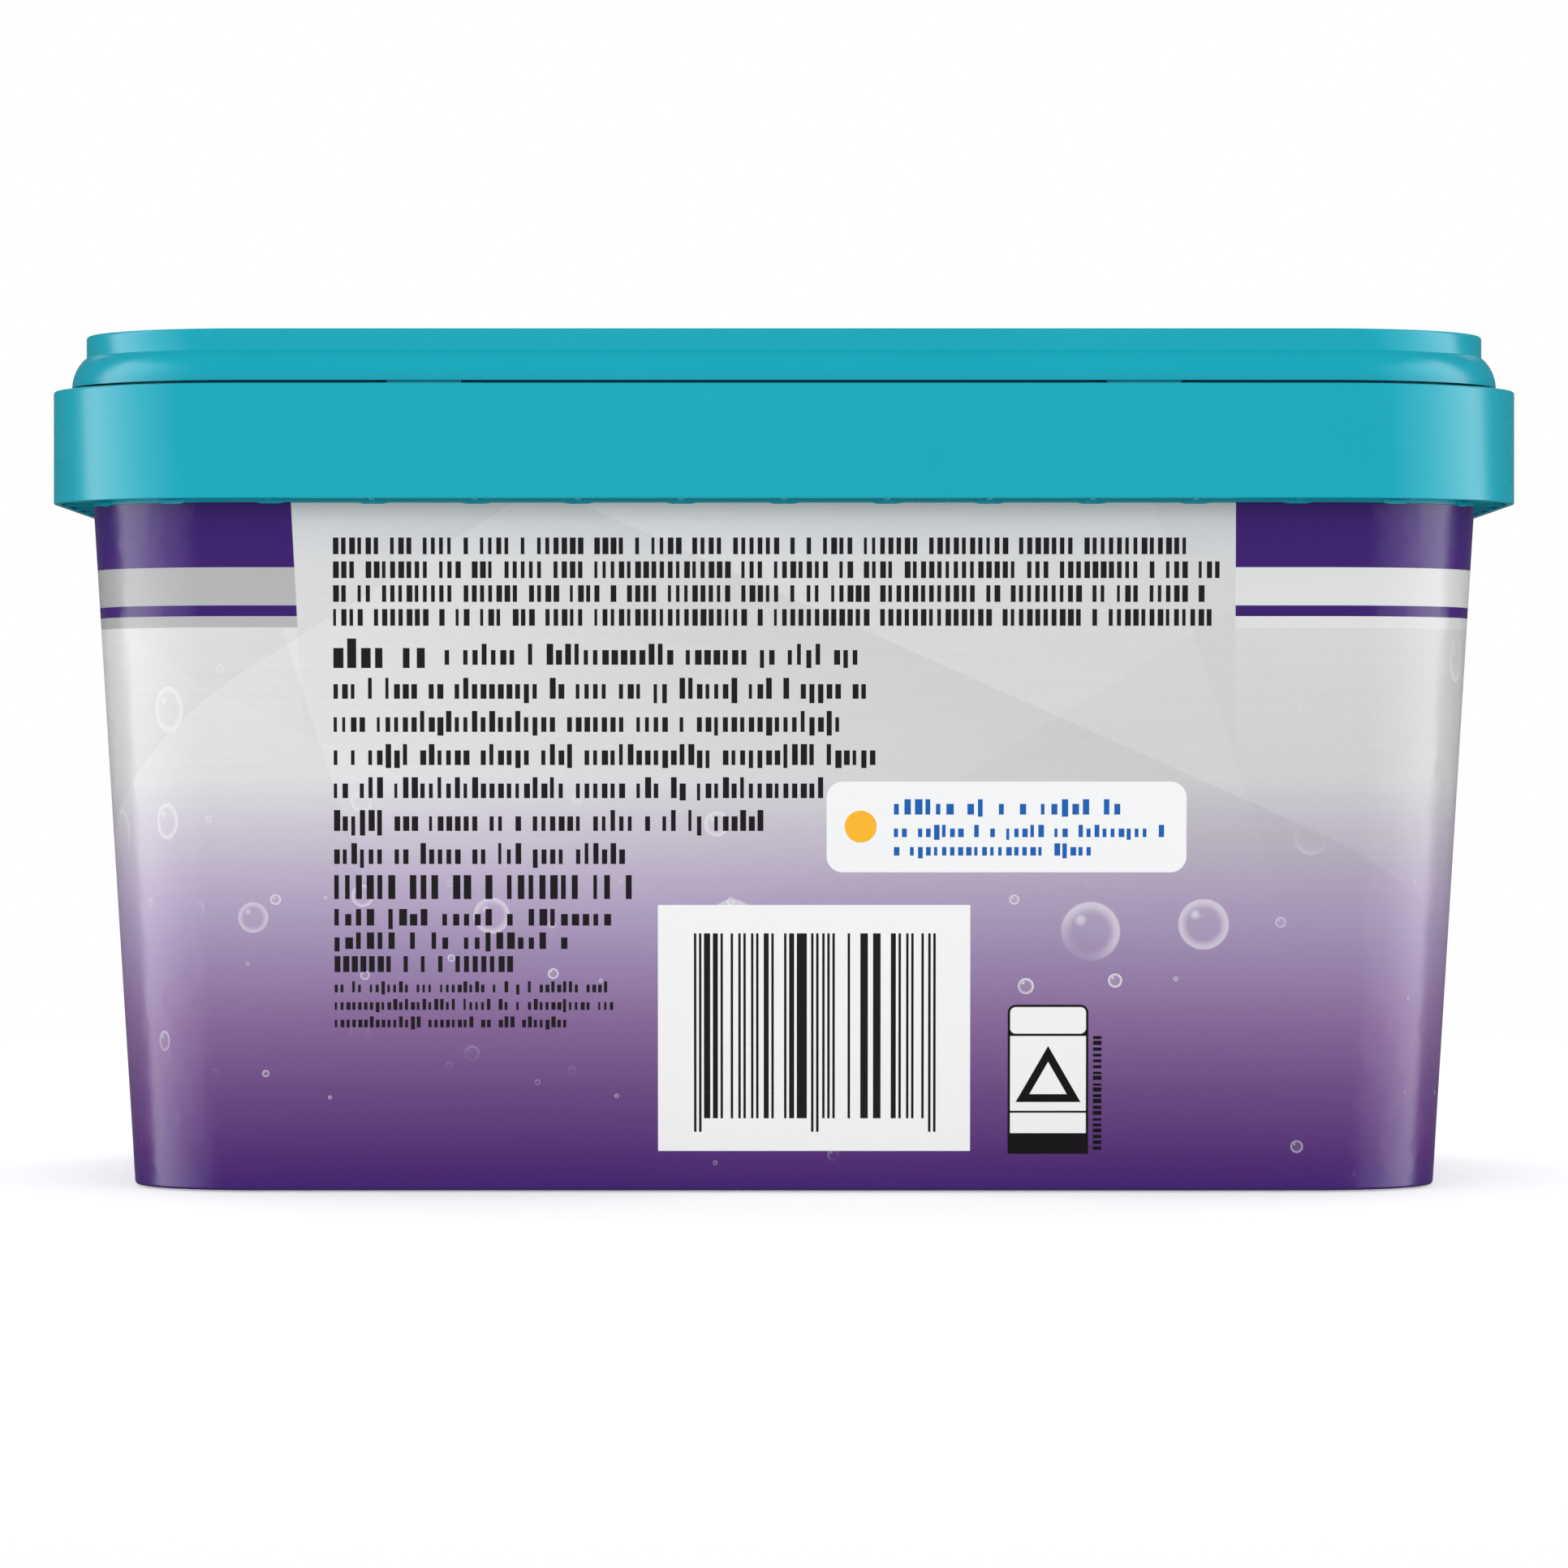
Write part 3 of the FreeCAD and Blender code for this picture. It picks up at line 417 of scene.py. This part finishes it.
# Plain rounded tiles: left, right, low and high edge and corner radius in mm, and colour
TILE_BLACK = "#171418"
TILES = [
    (-20.45, 30.2, 6.5, 46.5, 0.1, "#F7F7F7"), (6.9, 65.2, 51.8, 66.5, 2.6, "#F6F7F8"),
    (36.3, 49.4, 10.0, 30.3, 1.3, TILE_BLACK), (36.3, 49.4, 6.0, 12.0, 0.1, TILE_BLACK),
    (36.7, 49.0, 25.6, 29.9, 0.9, "#F6F6F6"), (36.7, 49.0, 13.05, 25.2, 0.1, "#F6F6F6"),
    (36.7, 49.0, 9.4, 12.7, 0.1, "#F6F6F6"),
]
for left, right, low, high, radius, code in TILES:
    tile = rounded_panel(ink, across, height, left, right, low, high, radius)
    print_so_far = overprint(ink, print_so_far, linear(code), tile, on_back)

# Bar tile: upright bars of a made-up width pattern, with a longer pair at each end and in the middle
BAR_MODULE = 0.4125
BARS_TOP = 41.9
module = add(ink, "Math", {"operation": "DIVIDE"}, {0: across, 1: BAR_MODULE})
counted = add(ink, "Math", {"operation": "FLOOR"}, {0: module.outputs[0]})
chance = add(ink, "TexWhiteNoise", {"noise_dimensions": "1D"}, {"W": counted.outputs[0]})
barred = add(ink, "Math", {"operation": "GREATER_THAN"}, {0: chance.outputs[0], 1: 0.52})
bars = all_of(ink, barred.outputs[0], between(ink, across, -14.6, 24.6, 0.01),
              between(ink, height, 11.8, BARS_TOP, 0.04))
for middle in (-14.0, 5.0, 24.0):
    from_pair = add(ink, "Math", {"operation": "SUBTRACT"}, {0: across, 1: middle})
    off_middle = add(ink, "Math", {"operation": "ABSOLUTE"}, {0: from_pair.outputs[0]})
    clear = add(ink, "Math", {"operation": "GREATER_THAN"}, {0: off_middle.outputs[0], 1: 1.0})
    pair = all_of(ink, between(ink, off_middle.outputs[0], 0.2, 0.62, 0.01),
                  between(ink, height, 9.6, BARS_TOP, 0.04))
    others = all_of(ink, bars, clear.outputs[0])
    bars = add(ink, "Math", {"operation": "MAXIMUM"}, {0: others, 1: pair}).outputs[0]
print_so_far = overprint(ink, print_so_far, INK_BLACK, bars, on_back)

# Wide tile: three rows of blue blocks beside a yellow disc
BLUE_LEFT = 17.8
BLUE_ROWS = [
    (55.5, 33.8, 2.0, 1.3, 0.7, 0.0), (58.5, 44.2, 2.0, 1.3, 0.7, 0.0), (62.4, 37.4, 2.5, 1.7, 0.6, 0.0),
]
DISC_PLACE = (12.4, 59.2, 0.0)
DISC_RADIUS = 2.597
rows = blank_lines(ink, across, height, BLUE_LEFT, BLUE_ROWS)
print_so_far = overprint(ink, print_so_far, linear("#1E62B4"), rows, on_back)
away = add(ink, "VectorMath", {"operation": "DISTANCE"}, {0: flat, 1: DISC_PLACE})
disc = add(ink, "Math", {"operation": "LESS_THAN"}, {0: away.outputs[1], 1: DISC_RADIUS})
print_so_far = overprint(ink, print_so_far, linear("#FDBB30"), disc.outputs[0], on_back)

# Narrow tile: a plain outlined triangle, and beside the tile an upright column of plain blocks
TRIANGLE_PLACE = (42.85, 17.5, 0.0)
BLOCK_PITCH = 0.95
from_triangle = add(ink, "VectorMath", {"operation": "SUBTRACT"}, {0: flat, 1: TRIANGLE_PLACE})
out_by = None
for angle in (90.0, 210.0, 330.0):
    inwards = (-math.cos(math.radians(angle)), -math.sin(math.radians(angle)), 0.0)
    side = add(ink, "VectorMath", {"operation": "DOT_PRODUCT"},
               {0: from_triangle.outputs[0], 1: inwards}).outputs[1]
    if out_by is None:
        out_by = side
    else:
        out_by = add(ink, "Math", {"operation": "MAXIMUM"}, {0: out_by, 1: side}).outputs[0]
outline = between(ink, out_by, 1.75, 3.05, 0.05)
print_so_far = overprint(ink, print_so_far, linear(TILE_BLACK), outline, on_back)
step = add(ink, "Math", {"operation": "DIVIDE"}, {0: height, 1: BLOCK_PITCH})
counted = add(ink, "Math", {"operation": "FLOOR"}, {0: step.outputs[0]})
along = add(ink, "Math", {"operation": "FRACT"}, {0: step.outputs[0]})
chance = add(ink, "TexWhiteNoise", {"noise_dimensions": "1D"}, {"W": counted.outputs[0]})
thick = add(ink, "MapRange", None, {0: chance.outputs[0], 3: 0.4, 4: 0.8})
block = add(ink, "Math", {"operation": "LESS_THAN"}, {0: along.outputs[0], 1: thick.outputs[0]})
print_so_far = overprint(
    ink, print_so_far, linear(TILE_BLACK), between(ink, across, 50.15, 51.55, 0.04),
    between(ink, height, 6.65, 25.6, 0.02), block.outputs[0], on_back)

peel = add(ink, "TexNoise", None, {"Vector": in_mm.outputs[0], "Scale": 0.55, "Detail": 2.0})
skin = add(ink, "Bump", None, {"Strength": 0.25, "Distance": 0.02 * MM, "Height": peel.outputs[0]})
film_gloss = add(ink, "MapRange", None, {0: grain.outputs[0], 3: 0.22, 4: 0.28})
film = add(ink, "BsdfPrincipled", None, {
    "Base Color": print_so_far, "Roughness": film_gloss.outputs[0], "IOR": 1.49,
    "Specular IOR Level": 0.2, "Normal": skin.outputs[0],
})
add(ink, "OutputMaterial", None, {0: film.outputs[0]})

# Bare tub plastic: natural white polypropylene copolymer off a fine-spark mould. Waxy and hardly
# glossy, with a spark grain of about 0.4 mm and a faint cloudiness 18 mm wide
white_plastic, resin = new_material("natural white polypropylene")
spot = add(resin, "TexCoord")
cloud = add(resin, "TexNoise", None, {"Vector": spot.outputs["Object"], "Scale": 55.0, "Detail": 4.0})
tone = add(resin, "Mix", {"data_type": "RGBA"},
           {0: cloud.outputs[0], 6: linear("#E9EAEC"), 7: linear("#F1F2F3")})
spark = add(resin, "TexNoise", None, {"Vector": spot.outputs["Object"], "Scale": 2600.0, "Detail": 2.0})
spark_bump = add(resin, "Bump", None, {"Strength": 0.3, "Distance": 0.02 * MM, "Height": spark.outputs[0]})
waxy = add(resin, "BsdfPrincipled", None, {
    "Base Color": tone.outputs[2], "Roughness": 0.42, "IOR": 1.49, "Normal": spark_bump.outputs[0],
    "Subsurface Weight": 0.08, "Subsurface Scale": 2.0 * MM,
})
add(resin, "OutputMaterial", None, {0: waxy.outputs[0]})

# The film covers the outside wall, and at its top the narrow ledge and the foot of the neck
tub = smooth_copy("tub_body", "tub_printed_body")
tub.data.materials.append(label)
tub.data.materials.append(white_plastic)
for face in tub.data.polygons:
    centre = face.center
    inward = TUB_SLOPE * (TUB_OUTSIDE_TOP - centre.z)
    beside = max(abs(centre.x) - (TUB_SIDE_TOP_X - inward), abs(centre.y) - (TUB_BACK_TOP_Y - inward))
    outward = Vector((centre.x, centre.y, 0.0)).dot(Vector((face.normal.x, face.normal.y, 0.0)))
    on_outside = outward > 0 and abs(face.normal.z) < 0.97 and centre.z < TUB_OUTSIDE_TOP
    near_wall = beside > -8.2 * MM and (
        centre.z > 1.6 * MM or beside > -1.0 * MM or abs(face.normal.z) > 0.02)
    from_corner = math.hypot(max(abs(centre.x) - TUB_SIDE_TOP_X + TUB_CORNER, 0.0),
                             max(abs(centre.y) - TUB_BACK_TOP_Y + TUB_CORNER, 0.0))
    on_ledge = (from_corner > TUB_CORNER - 1.7 * MM
                and TUB_OUTSIDE_TOP - 0.3 * MM < centre.z < TUB_OUTSIDE_TOP + 0.6 * MM)
    face.material_index = 0 if (on_outside and near_wall) or on_ledge else 1
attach(tub, "tub")
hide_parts("tub_body")


# The collar is a separate teal moulding, pressed down over the tub's neck once the tub is filled.
# Two skirts hang from its deck, joined by thin ribs, and it snaps under the neck with small hooks.

def teal_plastic(name, seed):
    """Injection-moulded polypropylene homopolymer coloured in the mass: clean gloss over a faint orange
    peel of about 3 mm, and flow marks a few percent apart in depth of colour. Faces that look
    straight up have a fine mould texture, and are matt."""
    material, mould = new_material(name)
    spot = add(mould, "TexCoord")
    in_mm = add(mould, "Mapping", None, {0: spot.outputs["Object"], 1: (seed, 0, 0), 3: (1000, 1000, 1000)})
    flow = add(mould, "TexNoise", None, {"Vector": in_mm.outputs[0], "Scale": 0.03, "Detail": 3.0})
    tone = add(mould, "Mix", {"data_type": "RGBA"},
               {0: flow.outputs[0], 6: linear("#02A4B7"), 7: linear("#0AAABD")})
    peel = add(mould, "TexNoise", None, {"Vector": in_mm.outputs[0], "Scale": 0.35, "Detail": 2.0})
    texture = add(mould, "TexNoise", None, {"Vector": in_mm.outputs[0], "Scale": 5.0, "Detail": 1.0})
    relief = add(mould, "Math", {"operation": "MULTIPLY_ADD"},
                 {0: texture.outputs[0], 1: 0.15, 2: peel.outputs[0]})
    skin = add(mould, "Bump", None, {"Strength": 0.3, "Distance": 0.02 * MM, "Height": relief.outputs[0]})
    gloss = add(mould, "MapRange", None, {0: texture.outputs[0], 3: 0.23, 4: 0.3})
    facing = add(mould, "SeparateXYZ", None, {0: spot.outputs["Normal"]})
    sheen = add(mould, "MapRange", None, {0: facing.outputs[2], 1: 0.9, 2: 0.98, 3: 0.26, 4: 0.0})
    plastic = add(mould, "BsdfPrincipled", None, {
        "Base Color": tone.outputs[2], "Roughness": gloss.outputs[0], "IOR": 1.49,
        "Specular IOR Level": sheen.outputs[0], "Normal": skin.outputs[0],
    })
    add(mould, "OutputMaterial", None, {0: plastic.outputs[0]})
    return material


collar = smooth_copy("collar", "collar_moulding")
collar.data.materials.append(teal_plastic("teal polypropylene collar", 0.0))
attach(collar, "tub")
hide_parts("collar")


# The lid is a second teal moulding. Two arms with pins at its back turn in the collar's sockets, and
# a rounded shoulder runs up to a raised ring that the foot of another tub stands in.

lid = smooth_copy("lid", "lid_moulding")
lid.data.materials.append(teal_plastic("teal polypropylene lid", 400.0))
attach(lid, "lid")
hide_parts("lid")


# The tablets are water-soluble film pouches, heat-sealed round a rim: pressed white powder fills the
# lower well, and two pockets of clear purple and teal gel lie on top under the same film.

TABLET_X = 37.0 * MM
TABLET_Y = 33.0 * MM
TABLET_CORNER = 6.5 * MM
RIM_HIGH = 8.0 * MM
RIM_WIDTH = 1.6 * MM
GEL_FROM = 17.0 * MM
TABLETS_PER_LAYER = 15
TABLET_LAYERS = 4
TOP_LAYER_TABLETS = 9
TURN = 7.0


def pouch_material(name, dark, light, speckle, rough, clear):
    """Film over powder or gel: a speckle at the grain size given in mm, under glossy stretched film."""
    material, pouch = new_material(name)
    spot = add(pouch, "TexCoord")
    in_mm = add(pouch, "VectorMath", {"operation": "SCALE"}, {0: spot.outputs["Object"], 3: 1000.0})
    grains = add(pouch, "TexVoronoi", None, {"Vector": in_mm.outputs[0], "Scale": 1.0 / speckle})
    tone = add(pouch, "Mix", {"data_type": "RGBA"},
               {0: grains.outputs["Color"], 6: linear(dark), 7: linear(light)})
    crease = add(pouch, "TexNoise", None,
                 {"Vector": in_mm.outputs[0], "Scale": 0.28, "Detail": 4.0, "Distortion": 0.8})
    skin = add(pouch, "Bump", None, {"Strength": 0.5, "Distance": 0.3 * MM, "Height": crease.outputs[0]})
    body = add(pouch, "BsdfPrincipled", None, {
        "Base Color": tone.outputs[2], "Roughness": rough, "IOR": 1.5, "Normal": skin.outputs[0],
        "Coat Weight": 0.6, "Coat Roughness": 0.12, "Transmission Weight": clear,
    })
    add(pouch, "OutputMaterial", None, {0: body.outputs[0]})
    return material


def pull_out(steps):
    """Extrudes what is selected up or down in steps of (mm, share that the new edge shrinks to)."""
    for rise, shrink in steps:
        bpy.ops.mesh.extrude_region_move(TRANSFORM_OT_translate={"value": (0, 0, rise * MM)})
        bpy.ops.transform.resize(value=(shrink, shrink, 1.0))


# Up from the rim to the crown, whose middle is pressed up a little
bpy.ops.object.select_all(action="DESELECT")
bpy.ops.mesh.primitive_plane_add(size=1.0, location=(0, 0, RIM_HIGH))
pouch = bpy.context.object
pouch.name = "tablet_pattern"
pouch.scale = (TABLET_X, TABLET_Y, 1.0)
bpy.ops.object.transform_apply(location=True, rotation=False, scale=True)
bpy.ops.object.mode_set(mode="EDIT")
bpy.ops.mesh.select_all(action="SELECT")
bpy.ops.mesh.bevel(offset=TABLET_CORNER, segments=3, affect="VERTICES", offset_type="OFFSET")
bpy.ops.mesh.select_all(action="SELECT")
bpy.ops.mesh.inset(thickness=RIM_WIDTH)
pull_out(((2.6, 0.99), (4.6, 0.93), (2.4, 0.86)))
bpy.ops.mesh.inset(thickness=3.0 * MM)
bpy.ops.transform.translate(value=(0, 0, 1.0 * MM))
bpy.ops.object.mode_set(mode="OBJECT")
for film_over in (("pressed powder under film", "#D9DCE2", "#F3F5F8", 0.7, 0.5, 0.0),
                  ("purple gel under film", "#4A2A86", "#5B3799", 3.0, 0.18, 0.25),
                  ("teal gel under film", "#1499AE", "#27B3C4", 3.0, 0.18, 0.25),
                  ("sealed film rim", "#D5DCE4", "#E8EDF2", 2.0, 0.25, 0.35)):
    pouch.data.materials.append(pouch_material(*film_over))

# Down from the rim to the foot, after a cut where the two gels meet
bpy.ops.object.mode_set(mode="EDIT")
bpy.ops.mesh.select_all(action="SELECT")
bpy.ops.mesh.bisect(plane_co=(0, 0, 0), plane_no=(1, 0, 0))
bpy.ops.mesh.select_all(action="DESELECT")
bpy.ops.mesh.select_non_manifold()
pull_out(((-0.3, 1.0), (-0.2, 0.91), (-4.0, 0.93), (-3.0, 0.86), (-0.5, 0.6)))
bpy.ops.mesh.edge_face_add()
bpy.ops.mesh.select_all(action="SELECT")
bpy.ops.mesh.normals_make_consistent(inside=False)
bpy.ops.object.mode_set(mode="OBJECT")
for face in pouch.data.polygons:
    centre = face.center
    if centre.z > GEL_FROM:
        face.material_index = 1 if centre.x < 0 else 2
    elif abs(centre.z - RIM_HIGH) < 0.35 * MM:
        face.material_index = 3
rounding = pouch.modifiers.new("stretched film", "SUBSURF")
rounding.levels = rounding.render_levels = 1
bpy.ops.object.modifier_apply(modifier=rounding.name)
bpy.ops.object.shade_smooth()

number = 0
for layer in range(TABLET_LAYERS):
    for cell in range(TABLETS_PER_LAYER):
        if layer == TABLET_LAYERS - 1 and (cell * 7) % TABLETS_PER_LAYER >= TOP_LAYER_TABLETS:
            continue
        number += 1
        node = "tablet_%02d" % number
        low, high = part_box(node)
        turn = math.radians(TURN * math.sin(1.7 * cell + 2.9 * layer))
        half_turn = math.pi if (cell + layer) % 2 else 0.0
        tablet = pouch.copy()
        tablet.data = pouch.data.copy()
        tablet.name = "film_" + node
        spot = Vector(((low.x + high.x) / 2, (low.y + high.y) / 2, low.z))
        tablet.data.transform(Matrix.Translation(spot) @ Matrix.Rotation(turn + half_turn, 4, "Z"))
        bpy.context.scene.collection.objects.link(tablet)
        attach(tablet, "tub")
        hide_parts(node)
bpy.data.objects.remove(pouch)


# The photographer's table: a white paper floor that fades into a white backdrop, a broad soft lamp in
# front and one behind, and a soft box on each side, which only gloss sees, for the bright corners.

FLOOR_DROP = 0.3 * MM
FADES_FROM = 0.22
FADED_BY = 0.6
SIDE_BRIGHTNESS = 6.2
ROOM_BRIGHTNESS = 0.72
WHITE = (1, 1, 1, 1)

bpy.ops.mesh.primitive_plane_add(size=12.0, location=(0, 0, -FLOOR_DROP))
floor = bpy.context.object
floor.name = "white_floor"
sweep, paper = new_material("white paper floor")
spot = add(paper, "TexCoord")
fibre = add(paper, "TexNoise", None, {"Vector": spot.outputs["Object"], "Scale": 900.0, "Detail": 2.0})
tint = add(paper, "Mix", {"data_type": "RGBA"},
           {0: fibre.outputs[0], 6: (0.76, 0.76, 0.76, 1), 7: (0.8, 0.8, 0.8, 1)})
matt = add(paper, "BsdfDiffuse", None, {"Color": tint.outputs[2]})
ray = add(paper, "LightPath")
lift = add(paper, "Math", {"operation": "MULTIPLY"}, {0: ray.outputs["Is Camera Ray"], 1: 0.4})
lifted = add(paper, "Emission", None, {"Color": WHITE, "Strength": lift.outputs[0]})
near = add(paper, "AddShader", None, {0: matt.outputs[0], 1: lifted.outputs[0]})
white = add(paper, "Emission", None, {"Color": WHITE, "Strength": 1.0})
away = add(paper, "VectorMath", {"operation": "LENGTH"}, {0: spot.outputs["Object"]})
far = add(paper, "MapRange", {"interpolation_type": "SMOOTHSTEP"},
          {0: away.outputs[1], 1: FADES_FROM, 2: FADED_BY})
seen_far = all_of(paper, far.outputs[0], ray.outputs["Is Camera Ray"])
whole = add(paper, "MixShader", None, {0: seen_far, 1: near.outputs[0], 2: white.outputs[0]})
# A reflection looks past the floor, at the same room below it as above
past_floor = add(paper, "BsdfTransparent")
seen = add(paper, "MixShader", None,
           {0: ray.outputs["Is Glossy Ray"], 1: whole.outputs[0], 2: past_floor.outputs[0]})
add(paper, "OutputMaterial", None, {0: seen.outputs[0]})
floor.data.materials.append(sweep)
floor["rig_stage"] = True

world = bpy.data.worlds.new("white studio")
bpy.context.scene.world = world
world.use_nodes = True
sky = world.node_tree
sky.nodes.clear()
ray = add(sky, "LightPath")
way = add(sky, "TexCoord")
way_axes = add(sky, "SeparateXYZ", None, {0: way.outputs["Generated"]})
dark_behind = add(sky, "MapRange", {"interpolation_type": "SMOOTHSTEP"},
                  {0: way_axes.outputs[1], 1: 0.1, 2: 0.7, 3: 0.2, 4: 0.1})

# What gloss sees of the soft boxes on each side: brightest beside the object, dimmer to the front, and
# gone a little behind it. Bearing from straight in front in degrees, and share of full brightness
SIDE_BOX = ((42.0, 0.0), (50.0, 0.38), (62.0, 0.5), (72.0, 0.8), (84.0, 1.0), (107.0, 1.0), (111.0, 0.0))
out_by = add(sky, "Math", {"operation": "ABSOLUTE"}, {0: way_axes.outputs[0]})
ahead = add(sky, "Math", {"operation": "MULTIPLY"}, {0: way_axes.outputs[1], 1: -1.0})
bearing = add(sky, "Math", {"operation": "ARCTAN2"}, {0: out_by.outputs[0], 1: ahead.outputs[0]})
turned = add(sky, "Math", {"operation": "DIVIDE"}, {0: bearing.outputs[0], 1: math.pi})
boxes = add(sky, "ValToRGB", None, {0: turned.outputs[0]})
for degrees, share in SIDE_BOX:
    boxes.color_ramp.elements.new(degrees / 180.0).color = (share, share, share, 1.0)
boxes.color_ramp.elements.remove(boxes.color_ramp.elements[-1])
box_height = between(sky, way_axes.outputs[2], -0.5, 0.7, 0.1)
side_gloss = add(sky, "Math", {"operation": "MULTIPLY_ADD"},
                 {0: all_of(sky, boxes.outputs[0], box_height), 1: SIDE_BRIGHTNESS, 2: dark_behind.outputs[0]})
plain = add(sky, "Mix", {"data_type": "FLOAT"},
            {0: ray.outputs["Is Glossy Ray"], 2: ROOM_BRIGHTNESS, 3: side_gloss.outputs[0]})
level = add(sky, "Mix", {"data_type": "FLOAT"},
            {0: ray.outputs["Is Camera Ray"], 2: plain.outputs[0], 3: 1.0})
backdrop = add(sky, "Background", None, {"Color": WHITE, "Strength": level.outputs[0]})
add(sky, "OutputWorld", None, {0: backdrop.outputs[0]})
world.cycles.sampling_method = "NONE"


def soft_lamp(name, place, target, size, brightness):
    """A rectangular soft box aimed at a point, hidden from the lens. A brightness of 1 is paper white."""
    shape = bpy.data.lights.new(name, "AREA")
    shape.shape = "RECTANGLE"
    shape.size, shape.size_y = size
    shape.energy = brightness * math.pi * size[0] * size[1]
    lamp = bpy.data.objects.new(name, shape)
    bpy.context.scene.collection.objects.link(lamp)
    lamp.location = place
    lamp.rotation_euler = (Vector(target) - Vector(place)).to_track_quat("-Z", "Y").to_euler()
    lamp.visible_camera = False
    return lamp


front_lamp = soft_lamp("front_lamp", (0, -1.6, 0.52), (0, 0, 0.1), (3.8, 1.0), 1.24)
front_lamp.visible_glossy = False
soft_lamp("rear_lamp", (0, 1.08, 1.28), (0, 0, 0.1), (1.9, 1.3), 1.1)

# The lens stands level with the middle of the tub and looks down by a fifth of a degree
camera_data = bpy.data.cameras.new("photograph")
camera_data.sensor_width = 36.0
camera_data.lens = 160.2
camera = bpy.data.objects.new("photograph", camera_data)
bpy.context.scene.collection.objects.link(camera)
camera.location = (0.0, -1.1986, 0.0698)
camera.rotation_euler = (math.radians(90.0 - 0.187), 0.0, 0.0)
bpy.context.scene.camera = camera
bpy.context.scene.view_settings.view_transform = "Standard"

low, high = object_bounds()
